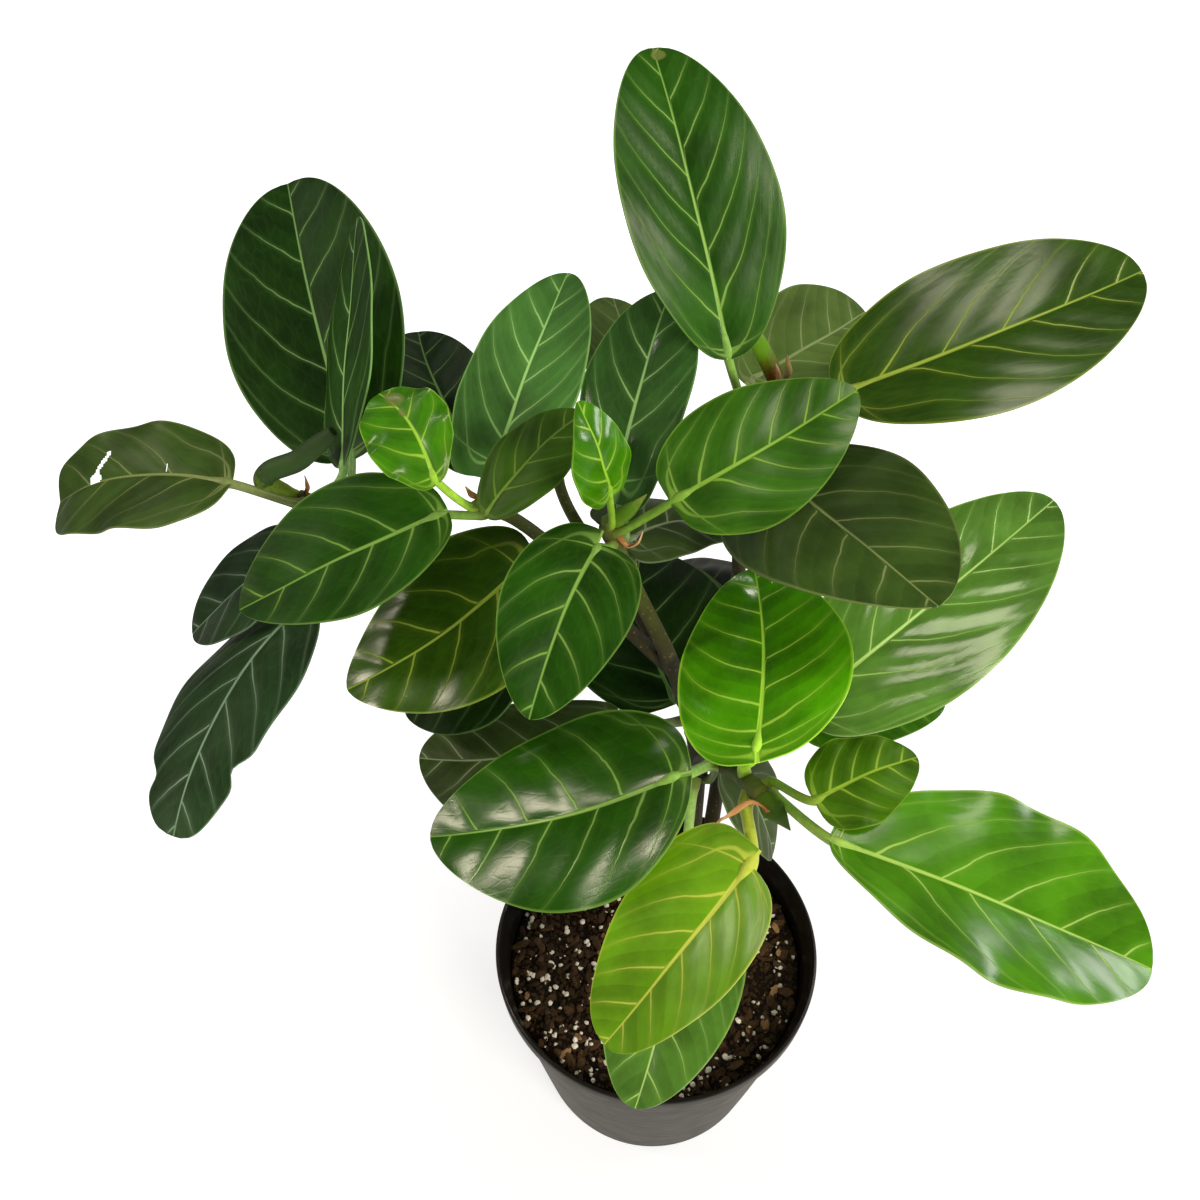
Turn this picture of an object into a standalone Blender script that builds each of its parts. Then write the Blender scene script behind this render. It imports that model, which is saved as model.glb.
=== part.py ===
"""A banyan fig in a nursery pot: pot, soil, two stems, leaves, buds and stipules.

Metres, +Z up. The origin is the centre of the pot's underside. The plant leans towards -X and +Y.
"""
import math

import bmesh
import bpy
from mathutils import Vector, noise

MM = 0.001
CLEAR = 0.0003            # gap kept between two touching pieces

# ---- pot and soil ----------------------------------------------------------------------------------
POT_HEIGHT = 0.122
POT_BASE_RADIUS = 0.062
POT_NECK_RADIUS = 0.0785  # outer wall just under the lip
POT_WALL = 0.0014
LIP_RADIUS = 0.0822
LIP_DEPTH = 0.010
POT_FLOOR = 0.0016
POT_STEPS = 44
OVAL = 0.022              # the thin wall is pressed out of round towards the rim
RIM_SHIFT = 0.0033        # and the rim stands off centre by this much
WALL_LEVELS = (0.006, 0.040, 0.074, 0.102)
DRAIN_SLOTS = 6
DRAIN_SIZE = (0.008, 0.010, 0.007)
SOIL_TOP = 0.104
SOIL_SWELL = 0.0022

# ---- stems -----------------------------------------------------------------------------------------
STEM_SIDES = 2            # bevel resolution, 8 sides
PATH_STEPS = 3            # points between two points of a stem's path

# Each stem: its path in mm from foot to tip, and its radius in mm at foot and tip.
# A branch starts inside the stem that it grows from and is joined to it.
STEMS = {
    "centre": dict(path=[(20, 32, 84), (18, 41, 170), (16, 46, 240), (3, 47, 300), (-15, 56, 345),
                         (-27, 64, 374)], radius=(5.0, 2.8)),
    "back": dict(path=[(28, 52, 84), (34, 78, 170), (38, 106, 250), (36, 124, 330), (49, 134, 386)],
                 radius=(4.4, 2.8)),
    "left": dict(path=[(5, 47, 296), (-25, 62, 322), (-53, 76, 352), (-77, 73, 379)],
                 radius=(3.4, 2.6), grows_from="centre"),
    "far_left": dict(path=[(-23, 61, 320), (-78, 84, 324), (-130, 99, 334), (-160, 108, 346)],
                     radius=(3.2, 2.5), grows_from="centre"),
    "front": dict(path=[(17, 45, 228), (20, 36, 248), (28, 12, 276), (37, -11, 294)],
                  radius=(3.9, 3.7), grows_from="centre"),
    "rear": dict(path=[(9, 47, 284), (-18, 78, 315), (-42, 99, 345), (-50, 110, 371)],
                 radius=(3.2, 2.3), grows_from="centre"),
}

# ---- leaves ----------------------------------------------------------------------------------------
BLADE = 0.0008            # blade thickness
BLADE_ROWS = 8            # faces along a blade
BLADE_COLUMNS = 4         # faces across it
FOOT_SWELL = 1.2          # a petiole's foot against its own radius
MIDRIB_END = 0.0007       # midrib radius where it leaves the underside
MIDRIB_REACH = 0.42       # share of the blade that the rib runs along
NECK = 0.001              # straight length of a bud or stipule before it bends

# What a leaf is unless its own row says otherwise: degrees for roll, fold and twist, mm for the rest.
PLAIN_LEAF = dict(roll=0, arch=4, sway=0, fold=8, cup=-3, lean=0, widest=0.85, blunt=(0.55, 0.55),
                  hook=0, twist=0, waist=0, petiole=2.0)

# Each leaf: the stem that carries it, how far below that stem's tip it joins, and where its blade
# begins and ends. Roll turns it about its midrib, arch and sway bend the midrib, fold lifts both
# halves, cup bends their edges, lean makes one half wider, and widest below 1 moves the width
# towards the base. Petiole is that stalk's radius.
LEAVES = {
    "front_leaf_upright": dict(stem="front", below=16, base=(31, -15, 326), tip=(40, 94, 313), width=73,
                               roll=19, arch=3, sway=4, fold=3, widest=0.74, blunt=(0.52, 0.60), twist=-10,
                               petiole=2.3),
    "front_leaf_young": dict(stem="front", below=4, base=(54, -27, 317), tip=(93, -12, 321), width=37,
                             roll=-9, arch=3, sway=-1, fold=6, cup=-4, widest=0.64, hook=3, twist=-6,
                             petiole=1.9),
    "front_leaf_right": dict(stem="front", below=7, base=(59, -43, 314), tip=(184, -73, 266), width=76,
                             roll=-5, fold=12, cup=-4, lean=-0.11, widest=1.0, twist=-15, petiole=2.2),
    "front_leaf_left": dict(stem="front", below=42, base=(6, -9, 307), tip=(-103, -4, 247), width=86,
                            roll=10, arch=-3, sway=-4, fold=7, cup=-5, lean=0.03, widest=0.73,
                            blunt=(0.63, 0.58), hook=2, twist=8, petiole=2.6),
    "front_leaf_over_pot": dict(stem="front", below=9, base=(31, -40, 294), tip=(-27, -90, 234), width=59,
                                roll=-4, sway=-2, fold=9, cup=0, lean=0.12, widest=0.63,
                                blunt=(0.51, 0.44), petiole=2.8),
    "centre_leaf_right": dict(stem="centre", below=5, base=(0, 56, 396), tip=(70, 97, 413), width=55,
                              roll=-24, arch=1, sway=1, fold=5, cup=-4, widest=0.69, blunt=(0.57, 0.60),
                              hook=1, twist=3, petiole=1.9),
    "centre_leaf_small": dict(stem="centre", below=1, base=(-25, 55, 400), tip=(-37, 62, 438), width=27,
                              roll=6, arch=6, sway=-4, cup=-2, lean=-0.06, widest=0.74,
                              blunt=(0.55, 0.61), twist=-4, petiole=1.5),
    "centre_leaf_front": dict(stem="centre", below=9, base=(-28, 54, 378), tip=(-54, -23, 365), width=51,
                              roll=7, sway=2, fold=10, cup=-2, widest=0.75, blunt=(0.52, 0.56)),
    "centre_leaf_back": dict(stem="centre", below=14, base=(-22, 78, 383), tip=(0, 148, 423), width=44,
                             roll=12, cup=-3, widest=0.93),
    "centre_leaf_under": dict(stem="centre", below=26, base=(-9, 76, 352), tip=(27, 101, 324), width=40,
                              roll=3, arch=3, sway=-6, fold=6, cup=-6, widest=0.52, hook=-2),
    "centre_leaf_low_left": dict(stem="centre", below=118, base=(-24, 39, 270), tip=(-112, 42, 236),
                                 width=61, roll=5, arch=1, sway=-7, fold=6, cup=-4, lean=-0.10,
                                 widest=1.04, hook=3, twist=9),
    "centre_leaf_dark": dict(stem="centre", below=103, base=(1, 62, 287), tip=(-7, 143, 268), width=73,
                             roll=18, arch=6, sway=-5, fold=2, lean=0.04, widest=0.74,
                             blunt=(0.52, 0.61), twist=-17),
    "centre_leaf_shaded": dict(stem="far_left", below=122, base=(-50, 69, 301), tip=(-116, 51, 259),
                               width=53, roll=-4, arch=2, sway=-2, fold=6, cup=-5, widest=1.06,
                               blunt=(0.56, 0.63), hook=3, twist=14),
    "centre_leaf_large_right": dict(stem="centre", below=128, base=(57, 30, 297), tip=(180, 130, 319),
                                    width=73, roll=-18, arch=5, sway=1, lean=0.06, widest=0.80,
                                    blunt=(0.50, 0.54), hook=1, twist=8),
    "centre_leaf_low_right": dict(stem="centre", below=146, base=(59, 64, 261), tip=(134, 67, 249),
                                  width=58, roll=-18, sway=-2, fold=4, cup=-4, widest=0.59, twist=6),
    "centre_leaf_behind": dict(stem="centre", below=164, base=(27, 38, 237), tip=(56, 24, 178), width=44,
                               roll=4, sway=-4, fold=7, cup=-2, lean=-0.10, widest=0.80, twist=12),
    "centre_leaf_lowest": dict(stem="centre", below=161, base=(12, 18, 191), tip=(-13, -93, 164), width=66,
                               roll=-10, sway=-5, fold=6, lean=-0.04, widest=0.88, blunt=(0.56, 0.51),
                               hook=2, twist=-3, petiole=2.6),
    "left_leaf_front": dict(stem="left", below=9, base=(-91, 69, 375), tip=(-172, 41, 348), width=59,
                            roll=15, arch=2, cup=-1, lean=0.08, widest=0.84, blunt=(0.57, 0.65),
                            twist=-10),
    "left_leaf_young": dict(stem="left", below=1, base=(-92, 67, 395), tip=(-117, 108, 402), width=36,
                            roll=22, sway=4, fold=7, cup=-2, lean=-0.11, widest=0.93, twist=-13,
                            petiole=1.8),
    "left_leaf_small": dict(stem="left", below=4, base=(-72, 56, 388), tip=(-35, 88, 410), width=32,
                            roll=-4, arch=5, fold=7, widest=0.92, petiole=1.3),
    "left_leaf_back": dict(stem="left", below=14, base=(-71, 92, 380), tip=(-43, 171, 416), width=53,
                           roll=8, arch=2, fold=10, cup=-2, lean=-0.06, widest=0.73,
                           blunt=(0.56, 0.52), hook=-2, twist=7),
    "left_leaf_low": dict(stem="left", below=40, base=(-59, 67, 347), tip=(-134, 36, 300), width=71,
                          roll=14, arch=1, sway=-4, fold=6, cup=-1, widest=0.73, blunt=(0.58, 0.60),
                          hook=1, twist=-18),
    "far_left_leaf_tall": dict(stem="far_left", below=22, base=(-139, 129, 350), tip=(-182, 274, 394),
                               width=86, roll=16, arch=7, fold=12, widest=0.82, blunt=(0.53, 0.46)),
    "far_left_leaf_folded": dict(stem="far_left", below=12, base=(-136, 100, 369), tip=(-133, 203, 420),
                                 width=48, roll=55, arch=2, fold=5, widest=0.93, hook=2, twist=8),
    "far_left_leaf_torn": dict(stem="far_left", below=5, base=(-186, 101, 360), tip=(-272, 119, 330),
                               width=54, roll=20, arch=8, sway=4, fold=14, lean=-0.08, widest=0.67,
                               blunt=(0.50, 0.20), hook=-1, twist=26, petiole=2.2),
    "far_left_leaf_shaded": dict(stem="far_left", below=34, base=(-163, 116, 307), tip=(-226, 100, 258),
                                 width=54, widest=0.89, twist=8),
    "far_left_leaf_long": dict(stem="far_left", below=48, base=(-166, 96, 287), tip=(-207, -14, 263),
                               width=60, roll=-12, arch=3, sway=11, fold=2, cup=-8, lean=0.09,
                               widest=0.72, blunt=(0.62, 0.38), hook=3, twist=15, waist=0.22),
    "rear_leaf_middle": dict(stem="rear", below=4, base=(-21, 146, 367), tip=(-23, 213, 371), width=42,
                             roll=-14, sway=2, fold=7, widest=0.94),
    "rear_leaf_left": dict(stem="rear", below=14, base=(-88, 138, 345), tip=(-120, 229, 339), width=57,
                           roll=-7, sway=-4, lean=-0.06, widest=0.92),
    "back_leaf_top": dict(stem="back", below=26, base=(21, 112, 419), tip=(-8, 215, 490), width=67,
                          roll=-4, fold=11, cup=-2, lean=0.05, widest=0.92, blunt=(0.56, 0.50)),
    "back_leaf_right": dict(stem="back", below=4, base=(67, 108, 403), tip=(194, 160, 422), width=69,
                            roll=-23, arch=6, sway=3, fold=9, cup=-2, lean=-0.03, widest=0.87,
                            blunt=(0.49, 0.51), hook=2, twist=-5),
    "back_leaf_grey": dict(stem="back", below=16, base=(37, 150, 374), tip=(95, 204, 369), width=57,
                           roll=-10, arch=9, sway=5, fold=9, cup=-1, lean=-0.05, widest=0.89,
                           blunt=(0.49, 0.57), hook=1, twist=-20),
    "back_leaf_broad": dict(stem="back", below=64, base=(47, 128, 342), tip=(97, 23, 372), width=89,
                            roll=-7, arch=5, sway=3, lean=0.03, widest=0.89, twist=15),
    "back_leaf_low": dict(stem="back", below=118, base=(34, 126, 268), tip=(12, 174, 236), width=42,
                          roll=-5, arch=3, fold=6, cup=-4, widest=0.91),
}

# ---- buds, rolled leaves and stipules --------------------------------------------------------------
# Each one: the stem that carries it and how far below the tip (0 is on the stem's end), its path in
# mm after the foot, and its radius in mm at the foot and at each point of the path.
BUDS = {
    "front_bud": dict(stem="front", below=0, path=[(39, -18, 296), (41, -23, 296), (44, -27, 294)],
                      radius=(2.0, 2.4, 1.9, 0.4)),
    "centre_bud": dict(stem="centre", below=0, path=[(-23, 65, 381), (-16, 65, 386), (-12, 65, 390)],
                       radius=(1.8, 2.4, 1.7, 0.3)),
    "back_bud": dict(stem="back", below=0, path=[(50, 134, 392), (49, 133, 397), (48, 133, 402)],
                     radius=(1.3, 1.6, 1.2, 0.3)),
    "back_rolled_leaf": dict(stem="back", below=2, path=[(42, 130, 391), (38, 129, 402), (32, 129, 411),
                                                         (28, 129, 418)],
                             radius=(1.3, 2.2, 3.2, 2.6, 0.6)),
    "far_left_rolled_leaf": dict(stem="far_left", below=0, path=[(-165, 107, 354), (-170, 107, 360),
                                                                 (-173, 110, 365), (-178, 109, 368)],
                                 radius=(1.5, 2.8, 3.6, 2.6, 0.5)),
}
STIPULES = {
    "front_dried_stipule": dict(stem="front", below=2, path=[(33, -20, 300), (26, -23, 302),
                                                             (21, -25, 300), (18, -26, 297)],
                                radius=(0.8, 1.1, 1.3, 1.1, 0.4)),
    "centre_dried_stipule": dict(stem="centre", below=12, path=[(-17, 59, 362), (-13, 57, 364),
                                                                (-10, 58, 368), (-11, 60, 372)],
                                 radius=(0.8, 1.2, 1.3, 1.0, 0.4)),
    "left_dried_stipule": dict(stem="left", below=0, path=[(-82, 72, 386), (-84, 70, 392)],
                               radius=(0.8, 1.4, 0.4)),
    "back_dried_stipule": dict(stem="back", below=9, path=[(43, 127, 382), (38, 126, 385),
                                                           (33, 125, 386)],
                               radius=(0.8, 1.4, 1.2, 0.4)),
    "far_left_dried_stipule": dict(stem="far_left", below=3, path=[(-154, 105, 353), (-153, 105, 359)],
                                   radius=(0.8, 1.4, 0.4)),
}


# ---- scene helpers ---------------------------------------------------------------------------------
def clear_scene():
    for obj in list(bpy.data.objects):
        bpy.data.objects.remove(obj, do_unlink=True)


def new_collection(name):
    collection = bpy.data.collections.new(name)
    bpy.context.scene.collection.children.link(collection)
    return collection


def new_material(name, color, roughness):
    material = bpy.data.materials.new(name)
    material.use_nodes = True
    shader = material.node_tree.nodes["Principled BSDF"]
    shader.inputs["Base Color"].default_value = (*color, 1)
    shader.inputs["Roughness"].default_value = roughness
    shader.inputs["Metallic"].default_value = 0
    return material


def add_object(name, mesh, material, collection):
    obj = bpy.data.objects.new(name, mesh)
    obj.data.materials.clear()
    obj.data.materials.append(material)
    collection.objects.link(obj)
    return obj


def evaluated_mesh(obj):
    bpy.context.view_layer.update()
    graph = bpy.context.evaluated_depsgraph_get()
    return bpy.data.meshes.new_from_object(obj.evaluated_get(graph))


def joined(obj, other):
    """Union of two closed objects, left on the first one; the second is removed."""
    union = obj.modifiers.new("join", "BOOLEAN")
    union.operation = "UNION"
    union.solver = "EXACT"
    union.object = other
    mesh = evaluated_mesh(obj)
    obj.modifiers.clear()
    obj.data = mesh
    bpy.data.objects.remove(other, do_unlink=True)
    return obj


# ---- curves ----------------------------------------------------------------------------------------
def smooth_path(points, steps):
    """Catmull-Rom points through a list of points given in mm."""
    knots = [Vector(p) * MM for p in points]
    first = knots[0] * 2 - knots[1]
    last = knots[-1] * 2 - knots[-2]
    ring = [first, *knots, last]
    path = []
    for i in range(len(knots) - 1):
        a, b, c, d = ring[i:i + 4]
        for k in range(steps):
            t = k / steps
            path.append(0.5 * (2 * b + (c - a) * t + (2 * a - 5 * b + 4 * c - d) * t ** 2
                               + (3 * b - 3 * c + d - a) * t ** 3))
    path.append(knots[-1])
    return path


def tube(name, points, radii, material, collection, sides):
    """A round closed tube along points, with its own radius at each one."""
    curve = bpy.data.curves.new(name, "CURVE")
    curve.dimensions = "3D"
    curve.twist_mode = "MINIMUM"
    curve.bevel_depth = 1.0
    curve.bevel_resolution = sides
    curve.use_fill_caps = True
    spline = curve.splines.new("POLY")
    spline.points.add(len(points) - 1)
    for knot, point, radius in zip(spline.points, points, radii):
        knot.co = (*point, 1)
        knot.radius = radius
    guide = bpy.data.objects.new(name + "_guide", curve)
    collection.objects.link(guide)
    mesh = evaluated_mesh(guide)
    bpy.data.objects.remove(guide, do_unlink=True)
    weld = bmesh.new()
    weld.from_mesh(mesh)
    bmesh.ops.remove_doubles(weld, verts=weld.verts, dist=1e-6)
    bmesh.ops.recalc_face_normals(weld, faces=weld.faces)
    weld.to_mesh(mesh)
    weld.free()
    return add_object(name, mesh, material, collection)


def blend(start, end, share):
    return start + (end - start) * share


# ---- stems -----------------------------------------------------------------------------------------
def stem_points(name):
    return smooth_path(STEMS[name]["path"], PATH_STEPS)


def stem_radius(name, share):
    foot, tip = STEMS[name]["radius"]
    return blend(foot, tip, share) * MM


def stem_site(name, below):
    """Point on a stem's axis a given length below its tip, with the axis direction and radius there."""
    points = stem_points(name)
    lengths = [(b - a).length for a, b in zip(points, points[1:])]
    left = below * MM
    for i in range(len(lengths) - 1, -1, -1):
        if left <= lengths[i] or i == 0:
            along = (points[i + 1] - points[i]).normalized()
            return points[i + 1] - along * left, along, stem_radius(name, i / len(lengths))
        left -= lengths[i]


def stem(name, material, collection):
    points = stem_points(name)
    radii = [stem_radius(name, i / (len(points) - 1)) for i in range(len(points))]
    return tube(name + "_stem", points, radii, material, collection, STEM_SIDES)


def stems(material, collection):
    made = {}
    for name, row in STEMS.items():
        piece = stem(name, material, collection)
        owner = row.get("grows_from")
        if owner:
            made[owner] = joined(made[owner], piece)
        else:
            made[name] = piece
    for piece in made.values():
        piece.data.shade_smooth()
    return made


# ---- leaves ----------------------------------------------------------------------------------------
def leaf_axes(row):
    """Midrib direction, direction across the blade, and the way that the upper face looks."""
    base, tip = Vector(row["base"]) * MM, Vector(row["tip"]) * MM
    along = (tip - base).normalized()
    level = along.cross(Vector((0, 0, 1))).normalized()
    roll = math.radians(row["roll"])
    across = level * math.cos(roll) + level.cross(along) * math.sin(roll)
    return along, across, across.cross(along)


def half_width(row, u):
    start, end = row["blunt"]
    outline = max(0.0, math.sin(math.pi * min(max(u, 0), 1) ** row["widest"])) ** blend(start, end, u)
    pinch = 1 - row["waist"] * math.exp(-((u - 0.80) / 0.05) ** 2)
    return row["width"] * MM / 2 * outline * pinch


def blade_point(row, u, v):
    """Point of the blade's middle surface: u runs from base to tip, v from -1 to 1 across."""
    base, tip = Vector(row["base"]) * MM, Vector(row["tip"]) * MM
    _, across, up = leaf_axes(row)
    side = v * half_width(row, u) * (1 + math.copysign(row["lean"], v))
    fold, twist = math.radians(row["fold"]), math.radians(row["twist"]) * (u - 0.5)
    bow = 4 * u * (1 - u)
    lift = row["arch"] * MM * bow + row["hook"] * MM * u ** 3
    lift += abs(side) * math.sin(fold) + side * math.sin(twist)
    lift += row["cup"] * MM * (side / (row["width"] * MM / 2)) ** 2
    shift = row["sway"] * MM * bow + side * math.cos(fold) * math.cos(twist)
    return base.lerp(tip, u) + across * shift + up * lift


def blade(name, row, material, collection):
    grid = bmesh.new()
    bmesh.ops.create_grid(grid, x_segments=BLADE_ROWS, y_segments=BLADE_COLUMNS, size=1)
    for vert in grid.verts:
        u = (1 - math.cos(math.pi * (vert.co.x + 1) / 2)) / 2
        vert.co = blade_point(row, u, vert.co.y)
    bmesh.ops.remove_doubles(grid, verts=grid.verts, dist=1e-5)
    mesh = bpy.data.meshes.new(name)
    grid.to_mesh(mesh)
    grid.free()
    obj = add_object(name, mesh, material, collection)
    wall = obj.modifiers.new("thickness", "SOLIDIFY")
    wall.thickness = BLADE
    wall.offset = 0
    solid = evaluated_mesh(obj)
    obj.modifiers.clear()
    obj.data = solid
    return obj


def seat(row, towards):
    """Where a piece meets its stem, and the way it leaves: from the side, or from the end at 0 below."""
    axis, direction, radius = stem_site(row["stem"], row["below"])
    if row["below"] == 0:
        return axis + direction * CLEAR, direction
    out = towards - axis
    out = (out - direction * out.dot(direction)).normalized()
    return axis + out * (radius + CLEAR), out


def petiole_points(row):
    """From just off the stem to the blade's base, then a little way along under the blade."""
    base = Vector(row["base"]) * MM
    along, _, up = leaf_axes(row)
    foot, out = seat(row, base)
    radius = row["petiole"] * MM
    end = base - up * (radius - BLADE * 0.2)
    knee = foot + out * radius * FOOT_SWELL
    reach = (end - knee).length
    a, b = knee + out * min(reach * 0.3, 5 * MM), end - along * reach * 0.35
    points, radii = [foot], [radius * FOOT_SWELL]
    for k in range(4):
        t = k / 4
        first, second = knee * (1 - t) ** 3 + a * 3 * t * (1 - t) ** 2, b * 3 * t * t * (1 - t) + end * t ** 3
        points.append(first + second)
        radii.append(radius * blend(FOOT_SWELL, 1, min(1, t * 4)))
    for k in range(4):
        rib = blend(radius, MIDRIB_END, k / 3)
        points.append(blade_point(row, MIDRIB_REACH * k / 3, 0) - up * (rib - BLADE * 0.2))
        radii.append(rib)
    return points, radii


def leaf(name, row, material, collection):
    row = {**PLAIN_LEAF, **row}
    sheet = blade(name, row, material, collection)
    points, radii = petiole_points(row)
    rib = tube(name + "_rib", points, radii, material, collection, 1)
    return joined(sheet, rib)


# ---- pot and soil ----------------------------------------------------------------------------------
def wall_radius(z):
    """Outer radius of the pot's wall at a height."""
    return blend(POT_BASE_RADIUS, POT_NECK_RADIUS, z / (POT_HEIGHT - LIP_DEPTH))


def out_of_round(mesh):
    for vert in mesh.vertices:
        share = (vert.co.z / POT_HEIGHT) ** 2
        vert.co.x *= 1 + OVAL * 0.5 * share
        vert.co.y = vert.co.y * (1 - OVAL * share) + RIM_SHIFT * share


def turned(name, profile, material, collection):
    mesh = bpy.data.meshes.new(name)
    edges = [(i, i + 1) for i in range(len(profile) - 1)]
    mesh.from_pydata([(r, 0, z) for r, z in profile], edges, [])
    obj = add_object(name, mesh, material, collection)
    spin = obj.modifiers.new("turn", "SCREW")
    spin.steps = POT_STEPS
    spin.render_steps = POT_STEPS
    spin.use_merge_vertices = True
    spin.merge_threshold = 0.00001
    solid = evaluated_mesh(obj)
    obj.modifiers.clear()
    obj.data = solid
    return obj


def pot(material, collection, cutters):
    neck = POT_HEIGHT - LIP_DEPTH
    profile = [
        (0, POT_FLOOR),
        (POT_BASE_RADIUS - POT_WALL - 0.003, POT_FLOOR),
        *[(wall_radius(z) - POT_WALL, z) for z in WALL_LEVELS],
        (wall_radius(neck) - POT_WALL, neck),
        (LIP_RADIUS - 0.0030, neck + 0.003),
        (LIP_RADIUS - 0.0022, POT_HEIGHT - 0.0008),
        (LIP_RADIUS - 0.0016, POT_HEIGHT),
        (LIP_RADIUS - 0.0007, POT_HEIGHT),
        (LIP_RADIUS, POT_HEIGHT - 0.0010),
        (LIP_RADIUS - 0.0006, neck + 0.0010),
        (LIP_RADIUS - 0.0012, neck),
        (wall_radius(neck), neck - 0.0005),
        *[(wall_radius(z), z) for z in reversed(WALL_LEVELS)],
        (POT_BASE_RADIUS - 0.0012, 0),
        (0, 0),
    ]
    obj = turned("nursery_pot", profile, material, collection)
    for i in range(DRAIN_SLOTS):
        angle = 2 * math.pi * (i + 0.5) / DRAIN_SLOTS
        box = bmesh.new()
        bmesh.ops.create_cube(box, size=1)
        bmesh.ops.scale(box, verts=box.verts, vec=DRAIN_SIZE)
        bmesh.ops.translate(box, verts=box.verts, vec=(POT_BASE_RADIUS, 0, 0))
        mesh = bpy.data.meshes.new("drain_cut")
        box.to_mesh(mesh)
        box.free()
        cutter = bpy.data.objects.new(f"drain_cut_{i}", mesh)
        cutter.rotation_euler.z = angle
        cutter.hide_render = True
        cutter.display_type = "WIRE"
        cutters.objects.link(cutter)
        cut = obj.modifiers.new(f"drain_{i}", "BOOLEAN")
        cut.operation = "DIFFERENCE"
        cut.solver = "EXACT"
        cut.object = cutter
    mesh = evaluated_mesh(obj)
    obj.modifiers.clear()
    out_of_round(mesh)
    mesh.shade_smooth()
    mesh.set_sharp_from_angle(angle=math.radians(35))
    obj.data = mesh
    return obj


def soil(material, collection, cutters):
    inset = POT_WALL + CLEAR
    rings = 5
    edge = wall_radius(SOIL_TOP) - inset
    profile = [(edge * i / rings, SOIL_TOP) for i in range(rings)]
    profile += [
        *[(wall_radius(z) - inset, z) for z in reversed(WALL_LEVELS)],
        (POT_BASE_RADIUS - inset - 0.0030, POT_FLOOR + CLEAR),
        (0, POT_FLOOR + CLEAR),
    ]
    obj = turned("potting_soil", profile, material, collection)
    out_of_round(obj.data)
    for vert in obj.data.vertices:
        spread = math.hypot(vert.co.x, vert.co.y) / edge
        if vert.co.z > SOIL_TOP - 0.0001 and spread < 0.95:
            vert.co.z += SOIL_SWELL * noise.noise(vert.co * 45)
    for name, row in STEMS.items():
        if "grows_from" in row:
            continue
        foot, above = Vector(row["path"][0]) * MM, stem_points(name)[2]
        low = foot - (above - foot).normalized() * CLEAR
        radius = stem_radius(name, 0) + CLEAR
        socket = tube(name + "_socket", [low, blend(low, above, 1.2)], [radius, radius], material, cutters,
                      STEM_SIDES)
        socket.hide_render = True
        socket.display_type = "WIRE"
        cut = obj.modifiers.new(name, "BOOLEAN")
        cut.operation = "DIFFERENCE"
        cut.solver = "EXACT"
        cut.object = socket
    mesh = evaluated_mesh(obj)
    obj.modifiers.clear()
    mesh.shade_flat()
    obj.data = mesh
    return obj


# ---- small pieces ----------------------------------------------------------------------------------
def spindle(name, row, material, collection):
    """A bud, a rolled leaf or a stipule: a short round neck on the stem, then its own path."""
    foot, out = seat(row, Vector(row["path"][0]) * MM)
    neck = foot + out * NECK
    points = [foot, *smooth_path([neck / MM, *row["path"]], 2)]
    sizes = row["radius"]
    radii = [sizes[0] * MM]
    for i in range(len(points) - 1):
        low = min(i // 2, len(sizes) - 2)
        radii.append(blend(sizes[low], sizes[low + 1], i / 2 - low) * MM)
    return tube(name, points, radii, material, collection, 1)


def main():
    clear_scene()
    plant = new_collection("potted_ficus")
    cutters = new_collection("cutters")
    plastic = new_material("black_plastic", (0.024, 0.023, 0.024), 0.45)
    earth = new_material("potting_mix", (0.030, 0.018, 0.013), 0.95)
    bark = new_material("stem_bark", (0.130, 0.120, 0.045), 0.60)
    green = new_material("leaf_green", (0.030, 0.150, 0.012), 0.30)
    bud_green = new_material("bud_green", (0.120, 0.210, 0.030), 0.45)
    dried = new_material("dried_stipule", (0.420, 0.190, 0.070), 0.70)

    pot(plastic, plant, cutters)
    soil(earth, plant, cutters)
    stems(bark, plant)
    for name, row in LEAVES.items():
        leaf(name, row, green, plant)
    for name, row in BUDS.items():
        spindle(name, row, bud_green, plant)
    for name, row in STIPULES.items():
        spindle(name, row, dried, plant)


main()
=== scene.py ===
import math

import bpy
import numpy as np
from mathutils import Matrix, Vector, noise


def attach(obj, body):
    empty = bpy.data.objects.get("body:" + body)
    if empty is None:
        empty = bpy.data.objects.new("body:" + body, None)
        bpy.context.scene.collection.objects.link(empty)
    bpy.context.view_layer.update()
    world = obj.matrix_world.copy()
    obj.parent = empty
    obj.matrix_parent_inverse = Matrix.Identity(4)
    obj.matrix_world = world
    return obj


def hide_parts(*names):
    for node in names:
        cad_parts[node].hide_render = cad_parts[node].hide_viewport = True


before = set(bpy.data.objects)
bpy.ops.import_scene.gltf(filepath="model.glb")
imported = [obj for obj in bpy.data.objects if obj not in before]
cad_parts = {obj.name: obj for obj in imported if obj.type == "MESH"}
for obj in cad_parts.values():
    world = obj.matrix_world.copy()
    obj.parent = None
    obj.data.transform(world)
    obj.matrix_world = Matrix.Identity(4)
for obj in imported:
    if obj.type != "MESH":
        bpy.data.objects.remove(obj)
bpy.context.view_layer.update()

mm = 0.001
print("stage 1: frame loaded,", len(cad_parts), "nodes")


def hexToLinear(text):
    # sRGB hex to the linear colour that the shaders take
    parts = [int(text[i:i + 2], 16) / 255 for i in (1, 3, 5)]
    return (*[c / 12.92 if c <= 0.04045 else ((c + 0.055) / 1.055) ** 2.4 for c in parts], 1.0)


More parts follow.
